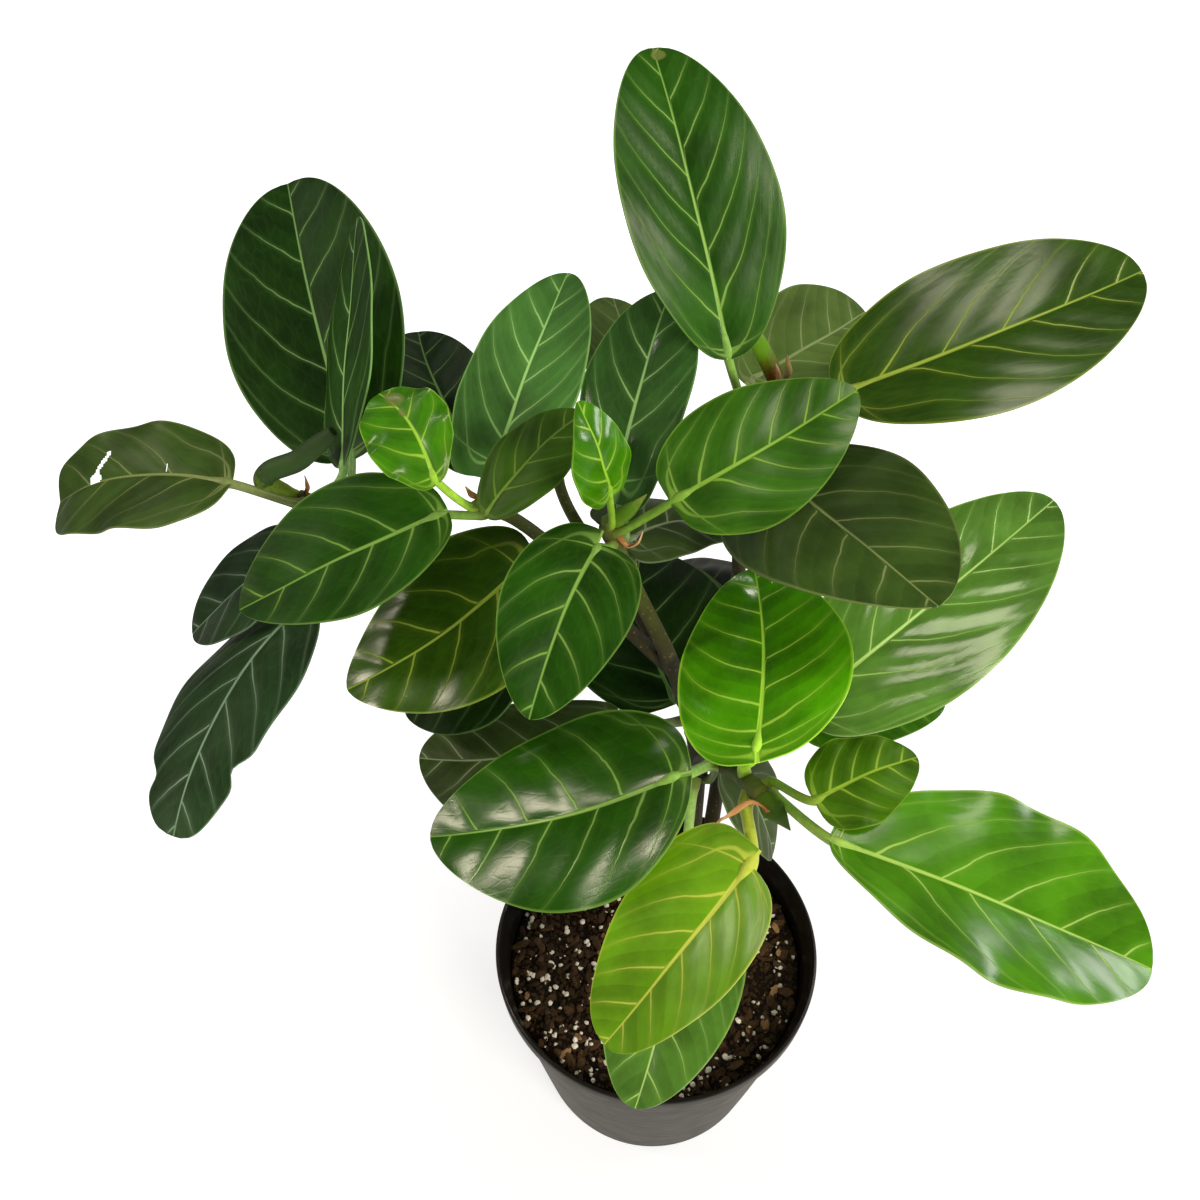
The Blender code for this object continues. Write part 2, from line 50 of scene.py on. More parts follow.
def setSockets(tree, node, sockets):
    # a value, an sRGB hex, a socket or a node's first output for each named or numbered input
    for name, value in sockets.items():
        live = node.inputs[name] if isinstance(name, int) else \
            next(s for s in node.inputs if s.name == name and s.enabled)
        if isinstance(value, bpy.types.Node):
            value = next(s for s in value.outputs if s.enabled)
        if isinstance(value, bpy.types.NodeSocket):
            tree.links.new(value, live)
        elif isinstance(value, str) and value.startswith("#"):
            live.default_value = hexToLinear(value)
        else:
            live.default_value = value


def addNode(tree, kind, sockets=None, **settings):
    # one node with its settings and what goes into it
    node = tree.nodes.new(kind)
    for name, value in settings.items():
        setattr(node, name, value)
    setSockets(tree, node, sockets or {})
    return node


def newMaterial(name, roughness, ior):
    # a Principled material with its shader's own fixed values, and its Object coordinates
    material = bpy.data.materials.new(name)
    material.use_nodes = True
    tree = material.node_tree
    shader = tree.nodes["Principled BSDF"]
    setSockets(tree, shader, {"Roughness": roughness, "IOR": ior})
    return material, tree, shader, addNode(tree, "ShaderNodeTexCoord").outputs["Object"]


def nodeName(name):
    # the solid that a piece stands for: words parted by underscores
    return "".join("_" + c.lower() if c.isupper() else c for c in name)


def smooth01(x):
    # 0 to 1 with no corner at either end
    x = np.clip(x, 0, 1)
    return x * x * (3 - 2 * x)


def newPiece(name, points, faces, materials, faceMaterials=None, smooth=True):
    # a mesh object at the origin, with its place in its mesh
    mesh = bpy.data.meshes.new(name)
    mesh.from_pydata([tuple(p) for p in points], [], faces)
    for material in materials:
        mesh.materials.append(material)
    if faceMaterials is not None:
        mesh.polygons.foreach_set("material_index", np.array(faceMaterials, np.int32))
    mesh.polygons.foreach_set("use_smooth", np.full(len(mesh.polygons), smooth))
    mesh.update()
    piece = bpy.data.objects.new(name, mesh)
    bpy.context.scene.collection.objects.link(piece)
    return piece


def setPointValues(piece, name, values):
    # a float, vector or colour for each point, which the materials read by name
    values = np.asarray(values, np.float32)
    kind, field = {1: ("FLOAT", "value"), 3: ("FLOAT_VECTOR", "vector"),
                   4: ("FLOAT_COLOR", "color")}[1 if values.ndim == 1 else values.shape[1]]
    layer = piece.data.attributes.new(name, kind, "POINT")
    layer.data.foreach_set(field, values.ravel())


def fromFrame(piece, slotName, *nodes):
    # every finished piece rides on the part's one body and stands for its own solid
    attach(piece, "root")
    if nodes:
        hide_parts(*nodes)
    return piece


def smoothPath(points, steps):
    # Catmull-Rom points through knots in metres
    knots = np.array(points, float)
    ring = np.vstack([2 * knots[0] - knots[1], knots, 2 * knots[-1] - knots[-2]])
    path = []
    for i in range(len(knots) - 1):
        a, b, c, d = ring[i:i + 4]
        for t in np.arange(steps) / steps:
            path.append(0.5 * (2 * b + (c - a) * t + (2 * a - 5 * b + 4 * c - d) * t ** 2
                               + (3 * b - 3 * c + d - a) * t ** 3))
    return np.array([*path, knots[-1]])


def tubeMesh(path, radii, sides, start=0):
    # a closed round tube, its points counted from start
    path, radii = np.asarray(path, float), np.asarray(radii, float)
    along = np.gradient(path, axis=0)
    along /= np.linalg.norm(along, axis=1)[:, None]
    side = np.cross(along[0], [0, 0, 1]) if abs(along[0][2]) < 0.95 else np.array([1.0, 0, 0])
    angles = 2 * np.pi * np.arange(sides) / sides
    points = []
    for i, centre in enumerate(path):
        side = side - along[i] * (side @ along[i])
        side /= np.linalg.norm(side)
        up = np.cross(side, along[i])
        points.extend(centre + radii[i] * (np.outer(np.cos(angles), side) + np.outer(np.sin(angles), up)))
    faces = []
    for i in range(len(path) - 1):
        for k in range(sides):
            a, b = i * sides + k, i * sides + (k + 1) % sides
            faces.append((a + start, a + sides + start, b + sides + start, b + start))
    last = (len(path) - 1) * sides
    faces.append(tuple(start + k for k in range(sides)))
    faces.append(tuple(start + last + k for k in reversed(range(sides))))
    return np.array(points), faces


# The pot, in metres. Its lip and foot are turned through points in mm: in from the lip's or the base's
# radius, and up from the neck under the lip or from the ground.
potShape = {
    "height": 0.122, "baseRadius": 0.062, "neckRadius": 0.0785, "wall": 0.0014, "lipRadius": 0.0822,
    "lipDepth": 0.010, "floor": 0.0016, "oval": 0.022, "rimShift": 0.0033,
    "lipTurn": ((1.8, -0.1), (0.9, 0.3), (0.5, 1.2), (0.2, 5), (0, 8.3), (0.2, 9.2), (0.8, 9.8), (1.4, 10),
                (2.0, 9.6), (2.4, 8.8), (3.0, 3.6)),
    "footTurn": ((12, 0), (2.6, 0), (1.1, 0.4), (0.2, 1.5)),
    "slots": 6, "slotSize": (0.008, 0.010, 0.007), "sides": 144,
}


def wallRadius(z):
    rise = z / (potShape["height"] - potShape["lipDepth"])
    return potShape["baseRadius"] + (potShape["neckRadius"] - potShape["baseRadius"]) * rise


def outOfRound(points):
    # the thin wall is pressed out of round towards the rim
    points = np.array(points, float)
    share = (points[:, 2] / potShape["height"]) ** 2
    points[:, 0] *= 1 + potShape["oval"] * 0.5 * share
    points[:, 1] = points[:, 1] * (1 - potShape["oval"] * share) + potShape["rimShift"] * share
    return points


def turned(profile, sides):
    # points and faces of a profile (radius, height) turned about Z, closed at both ends on the axis
    points, rings = [], []
    for r, z in profile:
        if r < 1e-7:
            rings.append([len(points)] * sides)
            points.append((0, 0, z))
        else:
            rings.append(list(range(len(points), len(points) + sides)))
            points += [(r * math.cos(2 * math.pi * k / sides), r * math.sin(2 * math.pi * k / sides), z)
                       for k in range(sides)]
    faces = []
    for low, high in zip(rings, rings[1:]):
        for k in range(sides):
            corners = [low[k], low[(k + 1) % sides], high[(k + 1) % sides], high[k]]
            faces.append(tuple(dict.fromkeys(corners)))
    return points, faces


def makePotPlastic():
    # moulded polypropylene, black: a soft grey sheen, faint mould drag marks and a little dust
    material, tree, shader, place = newMaterial("mouldedBlackPolypropylene", 0.4, 1.49)
    drag = addNode(tree, "ShaderNodeMapping", {"Vector": place, "Scale": (1, 1, 9)})  # marks run round
    marks = addNode(tree, "ShaderNodeTexNoise", {"Vector": drag, "Scale": 1 / (14 * mm), "Detail": 4})
    dust = addNode(tree, "ShaderNodeTexNoise", {"Vector": place, "Scale": 1 / (22 * mm), "Detail": 6,
                                                "Roughness": 0.65})
    dustShare = addNode(tree, "ShaderNodeMapRange", {"Value": dust, "From Min": 0.52, "From Max": 0.78,
                                                     "To Max": 0.24})
    colour = addNode(tree, "ShaderNodeMix", {"Factor": dustShare, "A": "#191613", "B": "#3f382e"},
                     data_type="RGBA")
    gloss = addNode(tree, "ShaderNodeMapRange", {"Value": marks, "From Min": 0.3, "From Max": 0.7,
                                                 "To Min": 0.30, "To Max": 0.46})
    grain = addNode(tree, "ShaderNodeTexNoise", {"Vector": place, "Scale": 1 / (0.9 * mm), "Detail": 2})
    bump = addNode(tree, "ShaderNodeBump", {"Height": grain, "Strength": 0.12, "Distance": 0.1 * mm})
    wave = addNode(tree, "ShaderNodeBump", {"Height": marks, "Strength": 0.35, "Distance": 0.4 * mm,
                                            "Normal": bump})
    setSockets(tree, shader, {"Base Color": colour, "Roughness": gloss, "Normal": wave})
    return material


def makeSlotCutter(turn, material):
    # a box across the foot of the wall, turned round the pot
    x, y, z = np.array(potShape["slotSize"]) / 2
    base = potShape["baseRadius"]
    corners = [(base + sx * x, sy * y, sz * z) for sx in (-1, 1) for sy in (-1, 1) for sz in (-1, 1)]
    spin = np.array([[math.cos(turn), -math.sin(turn), 0], [math.sin(turn), math.cos(turn), 0], [0, 0, 1]])
    walls = [(0, 1, 3, 2), (4, 6, 7, 5), (0, 4, 5, 1), (2, 3, 7, 6), (0, 2, 6, 4), (1, 5, 7, 3)]
    return newPiece("slotCutter", [spin @ c for c in corners], walls, [material])


def makePot(material):
    wall, lip, base = potShape["wall"], potShape["lipRadius"], potShape["baseRadius"]
    neck = potShape["height"] - potShape["lipDepth"]
    profile = [(0, 0), *[(base - inwards * mm, z * mm) for inwards, z in potShape["footTurn"]]]
    profile += [(wallRadius(z), z) for z in np.linspace(0.004, neck - 0.0016, 22)]
    profile += [(wallRadius(neck) + 0.0002, neck - 0.0006)]
    profile += [(lip - inwards * mm, neck + rise * mm) for inwards, rise in potShape["lipTurn"]]
    profile += [(wallRadius(neck) - wall, neck - 0.0004)]
    profile += [(wallRadius(z) - wall, z) for z in np.linspace(neck - 0.002, 0.006, 16)]
    profile += [(base - wall - 0.003, potShape["floor"]), (0, potShape["floor"])]
    pot = newPiece("nurseryPotShell", *turned(profile, potShape["sides"]), [material])
    cutters = []
    for i in range(potShape["slots"]):
        cut = pot.modifiers.new("slot", "BOOLEAN")
        cut.operation, cut.solver = "DIFFERENCE", "EXACT"
        cut.object = makeSlotCutter(2 * math.pi * (i + 0.5) / potShape["slots"], material)
        cutters.append(cut.object)
    applyModifiers(pot)
    for cutter in cutters:
        bpy.data.objects.remove(cutter)
    places = np.array([v.co for v in pot.data.vertices])
    pot.data.vertices.foreach_set("co", outOfRound(places).ravel())
    pot.data.set_sharp_from_angle(angle=math.radians(48))
    return fromFrame(pot, "black_plastic", "nursery_pot")


def applyModifiers(piece):
    # the evaluated mesh becomes the piece's own, and its modifiers go
    bpy.context.view_layer.update()
    graph = bpy.context.evaluated_depsgraph_get()
    mesh = bpy.data.meshes.new_from_object(piece.evaluated_get(graph))
    piece.modifiers.clear()
    piece.data = mesh


# Paths in mm from foot to tip, and radii in mm at the foot and the tip.
stemShapes = {
    "centre": {"path": [(20, 32, 84), (18, 41, 170), (16, 46, 240), (3, 47, 300), (-15, 56, 345),
                        (-27, 64, 374)], "radius": (5.0, 2.8)},
    "back": {"path": [(28, 52, 84), (34, 78, 170), (38, 106, 250), (36, 124, 330), (49, 134, 386)],
             "radius": (4.4, 2.8)},
    "left": {"path": [(5, 47, 296), (-25, 62, 322), (-53, 76, 352), (-77, 73, 379)],
             "radius": (3.4, 2.6), "growsFrom": "centre"},
    "farLeft": {"path": [(-23, 61, 320), (-78, 84, 324), (-130, 99, 334), (-160, 108, 346)],
                "radius": (3.2, 2.5), "growsFrom": "centre"},
    "front": {"path": [(17, 45, 228), (20, 36, 248), (28, 12, 276), (37, -11, 294)],
              "radius": (3.9, 3.7), "growsFrom": "centre"},
    "rear": {"path": [(9, 47, 284), (-18, 78, 315), (-42, 99, 345), (-50, 110, 371)],
             "radius": (3.2, 2.3), "growsFrom": "centre"},
}
stemLooks = {
    "stepsPerKnot": 26, "siteSteps": 3, "footDepth": 0.86, "sides": 20, "voxel": 0.0007,
    "nodeSwell": 0.14, "nodeWidth": 0.0030, "scarRidge": 0.00028, "scarWidth": 0.0006,
    "scarAbove": 0.0032, "footSwell": 0.18, "footAt": 0.098, "footReach": 0.012,
}


def stemSite(name, below):
    # a point on a stem's axis a given length below its tip, with the axis direction and the radius there
    row = stemShapes[name]
    points = smoothPath(np.array(row["path"]) * mm, stemLooks["siteSteps"])
    foot, tip = row["radius"]
    left = below * mm
    for i in range(len(points) - 2, -1, -1):
        length = np.linalg.norm(points[i + 1] - points[i])
        if left <= length or i == 0:
            along = (points[i + 1] - points[i]) / length
            return points[i + 1] - along * left, along, (foot + (tip - foot) * i / (len(points) - 1)) * mm
        left -= length


def seat(row, towards):
    # where a piece meets its stem and the way it leaves: from the side, or from the end at 0 below
    axis, direction, radius = stemSite(row["stem"], row["below"])
    if row["below"] == 0:
        return axis, direction
    out = towards - axis
    out = out - direction * (out @ direction)
    out /= np.linalg.norm(out)
    return axis + out * radius * stemLooks["footDepth"], out


def makeBark():
    # young fig bark: olive brown with cork dots and fine lengthways cracks, greener on new growth
    material, tree, shader, place = newMaterial("youngFigBark", 0.62, 1.45)
    youth = addNode(tree, "ShaderNodeAttribute", attribute_name="youth").outputs["Fac"]
    drawn = addNode(tree, "ShaderNodeMapping", {"Vector": place, "Scale": (1, 1, 0.3)})
    cracks = addNode(tree, "ShaderNodeTexNoise", {"Vector": drawn, "Scale": 1 / (2.2 * mm), "Detail": 6,
                                                  "Roughness": 0.7})
    dots = addNode(tree, "ShaderNodeTexVoronoi", {"Vector": place, "Scale": 1 / (2.6 * mm)})
    dotShare = addNode(tree, "ShaderNodeMapRange", {"Value": dots.outputs["Distance"], "From Min": 0.10,
                                                    "From Max": 0.24, "To Min": 0.55, "To Max": 0})
    patches = addNode(tree, "ShaderNodeTexNoise", {"Vector": place, "Scale": 1 / (9 * mm), "Detail": 3})
    old = addNode(tree, "ShaderNodeMix", {"Factor": cracks, "A": "#1f1b10", "B": "#443e24"},
                  data_type="RGBA")
    young = addNode(tree, "ShaderNodeMix", {"Factor": patches, "A": "#3e4418", "B": "#6a7530"},
                    data_type="RGBA")
    skin = addNode(tree, "ShaderNodeMix", {"Factor": youth, "A": old, "B": young}, data_type="RGBA")
    dotted = addNode(tree, "ShaderNodeMix", {"Factor": dotShare, "A": skin, "B": "#8a7a55"},
                     data_type="RGBA")
    bump = addNode(tree, "ShaderNodeBump", {"Height": cracks, "Strength": 0.5, "Distance": 0.5 * mm})
    setSockets(tree, shader, {"Base Color": dotted, "Normal": bump})
    return material


def stemMesh(name, feet):
    # one stem with a swollen node and a ring scar above each leaf that it carries
    row, looks = stemShapes[name], stemLooks
    path = smoothPath(np.array(row["path"]) * mm, looks["stepsPerKnot"])
    steps = np.linalg.norm(np.diff(path, axis=0), axis=1)
    belowTip = np.concatenate([np.cumsum(steps[::-1])[::-1], [0]])
    radii = np.interp(np.linspace(0, 1, len(path)), [0, 1], row["radius"]) * mm
    swell = np.ones(len(path))
    ridge = np.zeros(len(path))
    for below in feet:
        swell += looks["nodeSwell"] * np.exp(-((belowTip - below * mm) / looks["nodeWidth"]) ** 2)
        aboveFoot = belowTip - below * mm + looks["scarAbove"]
        ridge += looks["scarRidge"] * np.exp(-(aboveFoot / looks["scarWidth"]) ** 2)
    if "growsFrom" not in row:  # the foot spreads a little in the soil
        swell += looks["footSwell"] * np.exp(-((path[:, 2] - looks["footAt"]) / looks["footReach"]) ** 2)
    radii = radii * np.minimum(swell, 1.3) + ridge
    radii[-1] *= 0.86  # a blunt end under the bud
    return tubeMesh(path, radii, looks["sides"]), path, belowTip


def makeStem(pieceName, members, node, material, feetOf):
    # stems and their shoots fused into one skin, which gets browner with the length below the tip
    points, faces, paths, ages = [], [], [], []
    for name in members:
        (some, shape), path, belowTip = stemMesh(name, feetOf.get(name, []))
        faces += [tuple(i + len(points) for i in f) for f in shape]
        points.extend(some)
        paths.append(path)
        ages.append(belowTip)
    stem = newPiece(pieceName, points, faces, [material])
    fuse = stem.modifiers.new("fuse", "REMESH")
    fuse.mode, fuse.voxel_size, fuse.use_smooth_shade = "VOXEL", stemLooks["voxel"], True
    soften = stem.modifiers.new("soften", "SMOOTH")
    soften.factor, soften.iterations = 0.5, 3
    applyModifiers(stem)
    skin = np.array([v.co for v in stem.data.vertices])
    axis, age = np.vstack(paths), np.concatenate(ages)
    nearest = np.empty(len(skin), int)
    batch = 4000  # points at a time, to save memory
    for start in range(0, len(skin), batch):
        some = skin[start:start + batch]
        nearest[start:start + batch] = ((some[:, None] - axis[None]) ** 2).sum(2).argmin(1)
    youth = 1 - smooth01((age[nearest] - 0.004) / 0.075)  # green at the tip, all bark 79 mm below it
    setPointValues(stem, "youth", youth)
    return fromFrame(stem, "stem_bark", node)


# Leaf colours: blade and veins. Each leaf below names one pair. The deep green and the dusky green with dim
# veins are partly painted shade: the leaves' own dark green, darkened further for leaves that lie in shade.
leafColours = {
    "fresh": ("#3d7c04", "#a6d640"), "lime": ("#447304", "#a2c83c"), "bright": ("#4c8a0c", "#b4dc60"),
    "yellowish": ("#64960c", "#c8d04c"), "glossy": ("#4d7628", "#a4ca68"), "meadow": ("#356808", "#90bc40"),
    "mature": ("#265606", "#94c254"), "olive": ("#2e4e08", "#9eb43c"), "drab": ("#3d581e", "#8e9c5c"),
    "misty": ("#5a7435", "#93a56c"), "sage": ("#3a6428", "#96c470"), "paintedShadeDusky": ("#2e4e0a", "#64802e"),
    "grey": ("#3c5020", "#94a47c"), "deep": ("#183608", "#7aa25a"), "blue": ("#263e20", "#86a284"),
}

# What a leaf is unless its own row says otherwise. Lengths are in mm: arch, sway, cup and hook bend the
# blade, heart and cordate shape its foot (lobes is each half's share), wave and quilt its surface, and
# petiole is the radius of its stalk. Roll, fold and twist are degrees. Widest, lean, blunt and waist shape
# the outline. Shade multiplies the colour: it is partly the leaf's own tone and partly painted light and
# shade, raised for a leaf in full light and lowered for one deep inside the plant. A low gloss value is a
# shiny skin. Veins counts the side veins, which sweep to the tip. A dry patch has its place and size in
# shares of the blade. A tear runs through places on the blade and is open for so many mm on both sides.
plainLeaf = {
    "roll": 0, "arch": 4, "sway": 0, "fold": 8, "cup": -3, "hook": 0, "twist": 0, "widest": 0.85,
    "lean": 0, "blunt": (0.55, 0.55), "waist": 0, "heart": 0, "cordate": 0, "lobes": (1, 1), "petiole": 2.0,
    "wave": 0.5, "waves": 2.5, "quilt": 0.45, "colour": "mature", "shade": 1.0, "gloss": 0.19, "veins": 6,
    "sweep": 1.0, "dry": (), "torn": (),
}
leafBuild = {"rows": 60, "columns": 32, "thickness": 0.7, "groove": 0.35, "sides": 14, "dullAbove": 0.33}

# Each leaf: the stem that carries it and how far below that stem's tip, where its blade begins and
# ends in mm and how wide it is, then what differs from a plain leaf.
leafShapes = {
    "frontLeafUpright": {
        "stem": "front", "below": 16, "base": (31, -15, 326), "tip": (40, 94, 313), "width": 73, "roll": 19,
        "arch": 3, "sway": 4, "fold": 3, "twist": -10, "widest": 0.74, "blunt": (0.52, 0.6), "heart": 6.5,
        "cordate": 1.5, "petiole": 2.3, "colour": "fresh", "shade": 1.84, "gloss": 0.15, "sweep": 0.6},
    "frontLeafYoung": {
        "stem": "front", "below": 4, "base": (54, -27, 317), "tip": (93, -12, 321), "width": 37, "roll": -9,
        "arch": 3, "sway": -1, "fold": 6, "cup": -4, "hook": 3, "twist": -6, "widest": 0.64, "cordate": 2,
        "petiole": 1.9, "wave": 1.8, "colour": "lime", "shade": 0.8, "gloss": 0.42, "veins": 4},
    "frontLeafRight": {
        "stem": "front", "below": 7, "base": (59, -43, 314), "tip": (184, -73, 266), "width": 76,
        "roll": -5, "fold": 12, "cup": -1, "hook": 2, "twist": -15, "widest": 1.0, "lean": -0.11,
        "heart": 1.5, "cordate": 3, "petiole": 2.2, "wave": 2.2, "waves": 3.5, "colour": "bright",
        "shade": 0.85, "gloss": 0.24, "veins": 5},
    "frontLeafLeft": {
        "stem": "front", "below": 42, "base": (6, -9, 307), "tip": (-103, -4, 247), "width": 86, "roll": 10,
        "arch": -3, "sway": -4, "fold": 7, "cup": -7, "twist": 8, "widest": 0.73, "lean": 0.03,
        "blunt": (0.63, 0.58), "heart": 6.5, "cordate": 2, "petiole": 2.6, "wave": 0.8, "shade": 1.11,
        "gloss": 0.2, "veins": 5, "sweep": 0.6},
    "frontLeafOverPot": {
        "stem": "front", "below": 9, "base": (31, -40, 294), "tip": (-27, -90, 234), "width": 59,
        "roll": -4, "sway": -2, "fold": 9, "cup": 0, "widest": 0.63, "lean": 0.12, "blunt": (0.51, 0.44),
        "heart": 3.5, "cordate": 4, "lobes": (0.15, 1.2), "petiole": 2.8, "colour": "yellowish",
        "shade": 1.18, "gloss": 0.3, "veins": 5, "sweep": 0.9},
    "centreLeafRight": {
        "stem": "centre", "below": 5, "base": (0, 56, 396), "tip": (70, 97, 413), "width": 55, "roll": -24,
        "arch": 1, "sway": 1, "fold": 5, "cup": -4, "hook": 1, "twist": 3, "widest": 0.69,
        "blunt": (0.57, 0.6), "heart": 1, "cordate": 4, "petiole": 1.9, "colour": "meadow", "shade": 0.85,
        "gloss": 0.3, "veins": 5},
    "centreLeafSmall": {
        "stem": "centre", "below": 1, "base": (-25, 55, 400), "tip": (-37, 62, 438), "width": 30, "roll": 6,
        "arch": 6, "sway": -4, "cup": -2, "twist": -4, "widest": 0.74, "lean": -0.06, "blunt": (0.55, 0.61),
        "heart": 2, "cordate": 3, "petiole": 1.5, "colour": "fresh", "shade": 0.85, "gloss": 0.2,
        "veins": 3.4},
    "centreLeafFront": {
        "stem": "centre", "below": 9, "base": (-28, 54, 378), "tip": (-54, -23, 365), "width": 51,
        "roll": 7, "sway": 2, "fold": 10, "cup": -2, "widest": 0.75, "blunt": (0.52, 0.56), "heart": 6.5,
        "cordate": 3, "lobes": (0.2, 1.0), "shade": 0.8, "gloss": 0.4, "veins": 4},
    "centreLeafBack": {
        "stem": "centre", "below": 14, "base": (-22, 78, 383), "tip": (0, 148, 423), "width": 47,
        "roll": 12, "widest": 0.93, "lean": -0.05, "blunt": (0.24, 0.55), "cordate": 12, "colour": "sage",
        "shade": 0.95, "veins": 4},
    "centreLeafUnder": {
        "stem": "centre", "below": 26, "base": (-16, 74, 354), "tip": (30, 104, 326), "width": 50,
        "roll": 3, "arch": 3, "sway": -6, "fold": 6, "cup": -6, "hook": -2, "widest": 0.52, "lean": -0.2,
        "cordate": 8, "colour": "grey", "shade": 0.83, "gloss": 0.44, "veins": 4},
    "centreLeafLowLeft": {
        "stem": "centre", "below": 118, "base": (-24, 39, 270), "tip": (-112, 42, 236), "width": 61,
        "roll": 5, "arch": 1, "sway": -7, "fold": 6, "cup": -4, "hook": 3, "twist": 9, "widest": 1.04,
        "lean": -0.1, "blunt": (0.36, 0.55), "cordate": 5, "colour": "grey", "shade": 1.3, "gloss": 0.44,
        "veins": 5},
    "centreLeafDark": {
        "stem": "centre", "below": 103, "base": (5, 58, 264), "tip": (-9, 141, 272), "width": 80,
        "roll": 18, "arch": 6, "sway": -5, "fold": 2, "twist": -17, "widest": 0.74, "lean": 0.04,
        "blunt": (0.52, 0.61), "cordate": 4, "colour": "deep", "shade": 0.95, "gloss": 0.44, "veins": 4},
    "centreLeafShaded": {
        "stem": "farLeft", "below": 122, "base": (-50, 69, 301), "tip": (-116, 51, 259), "width": 53,
        "roll": -4, "arch": 2, "sway": -2, "fold": 6, "cup": -5, "hook": 3, "twist": 14, "widest": 1.06,
        "blunt": (0.56, 0.63), "colour": "deep", "shade": 0.77, "gloss": 0.44, "veins": 4},
    "centreLeafLargeRight": {
        "stem": "centre", "below": 128, "base": (57, 30, 297), "tip": (180, 130, 319), "width": 73,
        "roll": -18, "arch": 5, "sway": 1, "hook": 1, "twist": 8, "widest": 0.8, "lean": 0.06,
        "blunt": (0.5, 0.54), "heart": 1.5, "cordate": 4, "quilt": 0.8, "colour": "glossy", "shade": 1.18,
        "gloss": 0.16},
    "centreLeafLowRight": {
        "stem": "centre", "below": 146, "base": (59, 64, 261), "tip": (134, 67, 249), "width": 58,
        "roll": -18, "sway": -2, "fold": 4, "cup": -4, "twist": 6, "widest": 0.59, "heart": 3,
        "colour": "meadow", "shade": 1.25, "veins": 4},
    "centreLeafBehind": {
        "stem": "centre", "below": 164, "base": (27, 38, 237), "tip": (56, 24, 178), "width": 44, "roll": 4,
        "sway": -4, "fold": 7, "cup": -2, "twist": 12, "widest": 0.8, "lean": -0.1, "colour": "grey",
        "shade": 1.1, "gloss": 0.44, "veins": 4},
    "centreLeafLowest": {
        "stem": "centre", "below": 161, "base": (12, 18, 191), "tip": (-13, -93, 164), "width": 66,
        "roll": -10, "sway": -5, "fold": 6, "hook": 2, "twist": -3, "widest": 0.88, "lean": -0.04,
        "blunt": (0.56, 0.51), "cordate": 3, "petiole": 2.6, "colour": "glossy", "shade": 1.38,
        "gloss": 0.18, "veins": 5},
    "leftLeafFront": {
        "stem": "left", "below": 9, "base": (-91, 69, 375), "tip": (-172, 41, 348), "width": 59, "roll": 15,
        "arch": 2, "cup": -1, "twist": -10, "widest": 0.84, "lean": 0.08, "blunt": (0.57, 0.65),
        "heart": 2.6, "cordate": 3, "shade": 0.73, "gloss": 0.44, "veins": 4.4, "sweep": 0.85},
    "leftLeafYoung": {
        "stem": "left", "below": 1, "base": (-92, 67, 395), "tip": (-117, 108, 402), "width": 36,
        "roll": 22, "sway": 4, "fold": 7, "cup": -2, "twist": -13, "widest": 0.93, "lean": -0.11,
        "heart": 1, "cordate": 3, "petiole": 1.8, "wave": 2.4, "waves": 3.2, "colour": "fresh",
        "shade": 1.1, "gloss": 0.27, "veins": 3.4,
        "dry": ((0.84, 0.18, 0.16, 0.42), (0.66, 0.02, 0.08, 0.12))},
    "leftLeafSmall": {
        "stem": "left", "below": 4, "base": (-72, 56, 388), "tip": (-35, 88, 410), "width": 32, "roll": -4,
        "arch": 5, "fold": 7, "widest": 0.92, "cordate": 2, "petiole": 1.3, "colour": "paintedShadeDusky",
        "shade": 1.22, "gloss": 0.44, "veins": 4},
    "leftLeafBack": {
        "stem": "left", "below": 14, "base": (-71, 92, 380), "tip": (-43, 171, 416), "width": 53, "roll": 8,
        "arch": 2, "fold": 10, "cup": -2, "hook": -2, "twist": 7, "widest": 0.73, "blunt": (0.30, 0.52),
        "cordate": 10, "colour": "sage", "shade": 1.4, "gloss": 0.44, "veins": 5},
    "leftLeafLow": {
        "stem": "left", "below": 40, "base": (-59, 67, 347), "tip": (-134, 36, 300), "width": 71,
        "roll": 14, "arch": 1, "sway": -4, "fold": 2, "cup": -1, "hook": 4, "twist": -18, "widest": 0.73,
        "blunt": (0.58, 0.6), "heart": 4, "cordate": 7, "colour": "olive", "shade": 1.19, "gloss": 0.2,
        "veins": 4},
    "farLeftLeafTall": {
        "stem": "farLeft", "below": 22, "base": (-139, 129, 350), "tip": (-182, 274, 394), "width": 86,
        "roll": 16, "arch": 7, "fold": 12, "widest": 0.82, "blunt": (0.53, 0.46), "heart": 1, "cordate": 4,
        "colour": "deep", "shade": 1.19, "gloss": 0.44, "veins": 5},
    "farLeftLeafFolded": {
        "stem": "farLeft", "below": 12, "base": (-136, 100, 369), "tip": (-133, 203, 420), "width": 48,
        "roll": 55, "arch": 2, "fold": 5, "hook": 2, "twist": 8, "widest": 0.93, "colour": "deep",
        "shade": 2.1, "gloss": 0.44, "veins": 4},
    "farLeftLeafTorn": {
        "stem": "farLeft", "below": 5, "base": (-186, 101, 360), "tip": (-272, 119, 330), "width": 54,
        "roll": 20, "arch": 8, "sway": 4, "fold": 14, "hook": -1, "twist": 26, "widest": 0.67,
        "lean": -0.08, "blunt": (0.5, 0.2), "heart": 1, "cordate": 3, "petiole": 2.2, "wave": 2.0,
        "colour": "drab", "shade": 0.92, "gloss": 0.42, "veins": 4,
        "torn": (((0.63, 0.52), (0.69, 0.28), (0.735, 0.06), 1.3), ((0.70, 0.10), (0.735, 0.07), 2.4),
                 ((0.30, 0.20), (0.295, 0.08), 0.5))},
    "farLeftLeafShaded": {
        "stem": "farLeft", "below": 34, "base": (-163, 116, 307), "tip": (-226, 100, 258), "width": 54,
        "twist": 8, "widest": 0.89, "colour": "blue", "shade": 1.15, "gloss": 0.44, "veins": 4},
    "farLeftLeafLong": {
        "stem": "farLeft", "below": 48, "base": (-166, 96, 287), "tip": (-207, -14, 263), "width": 60,
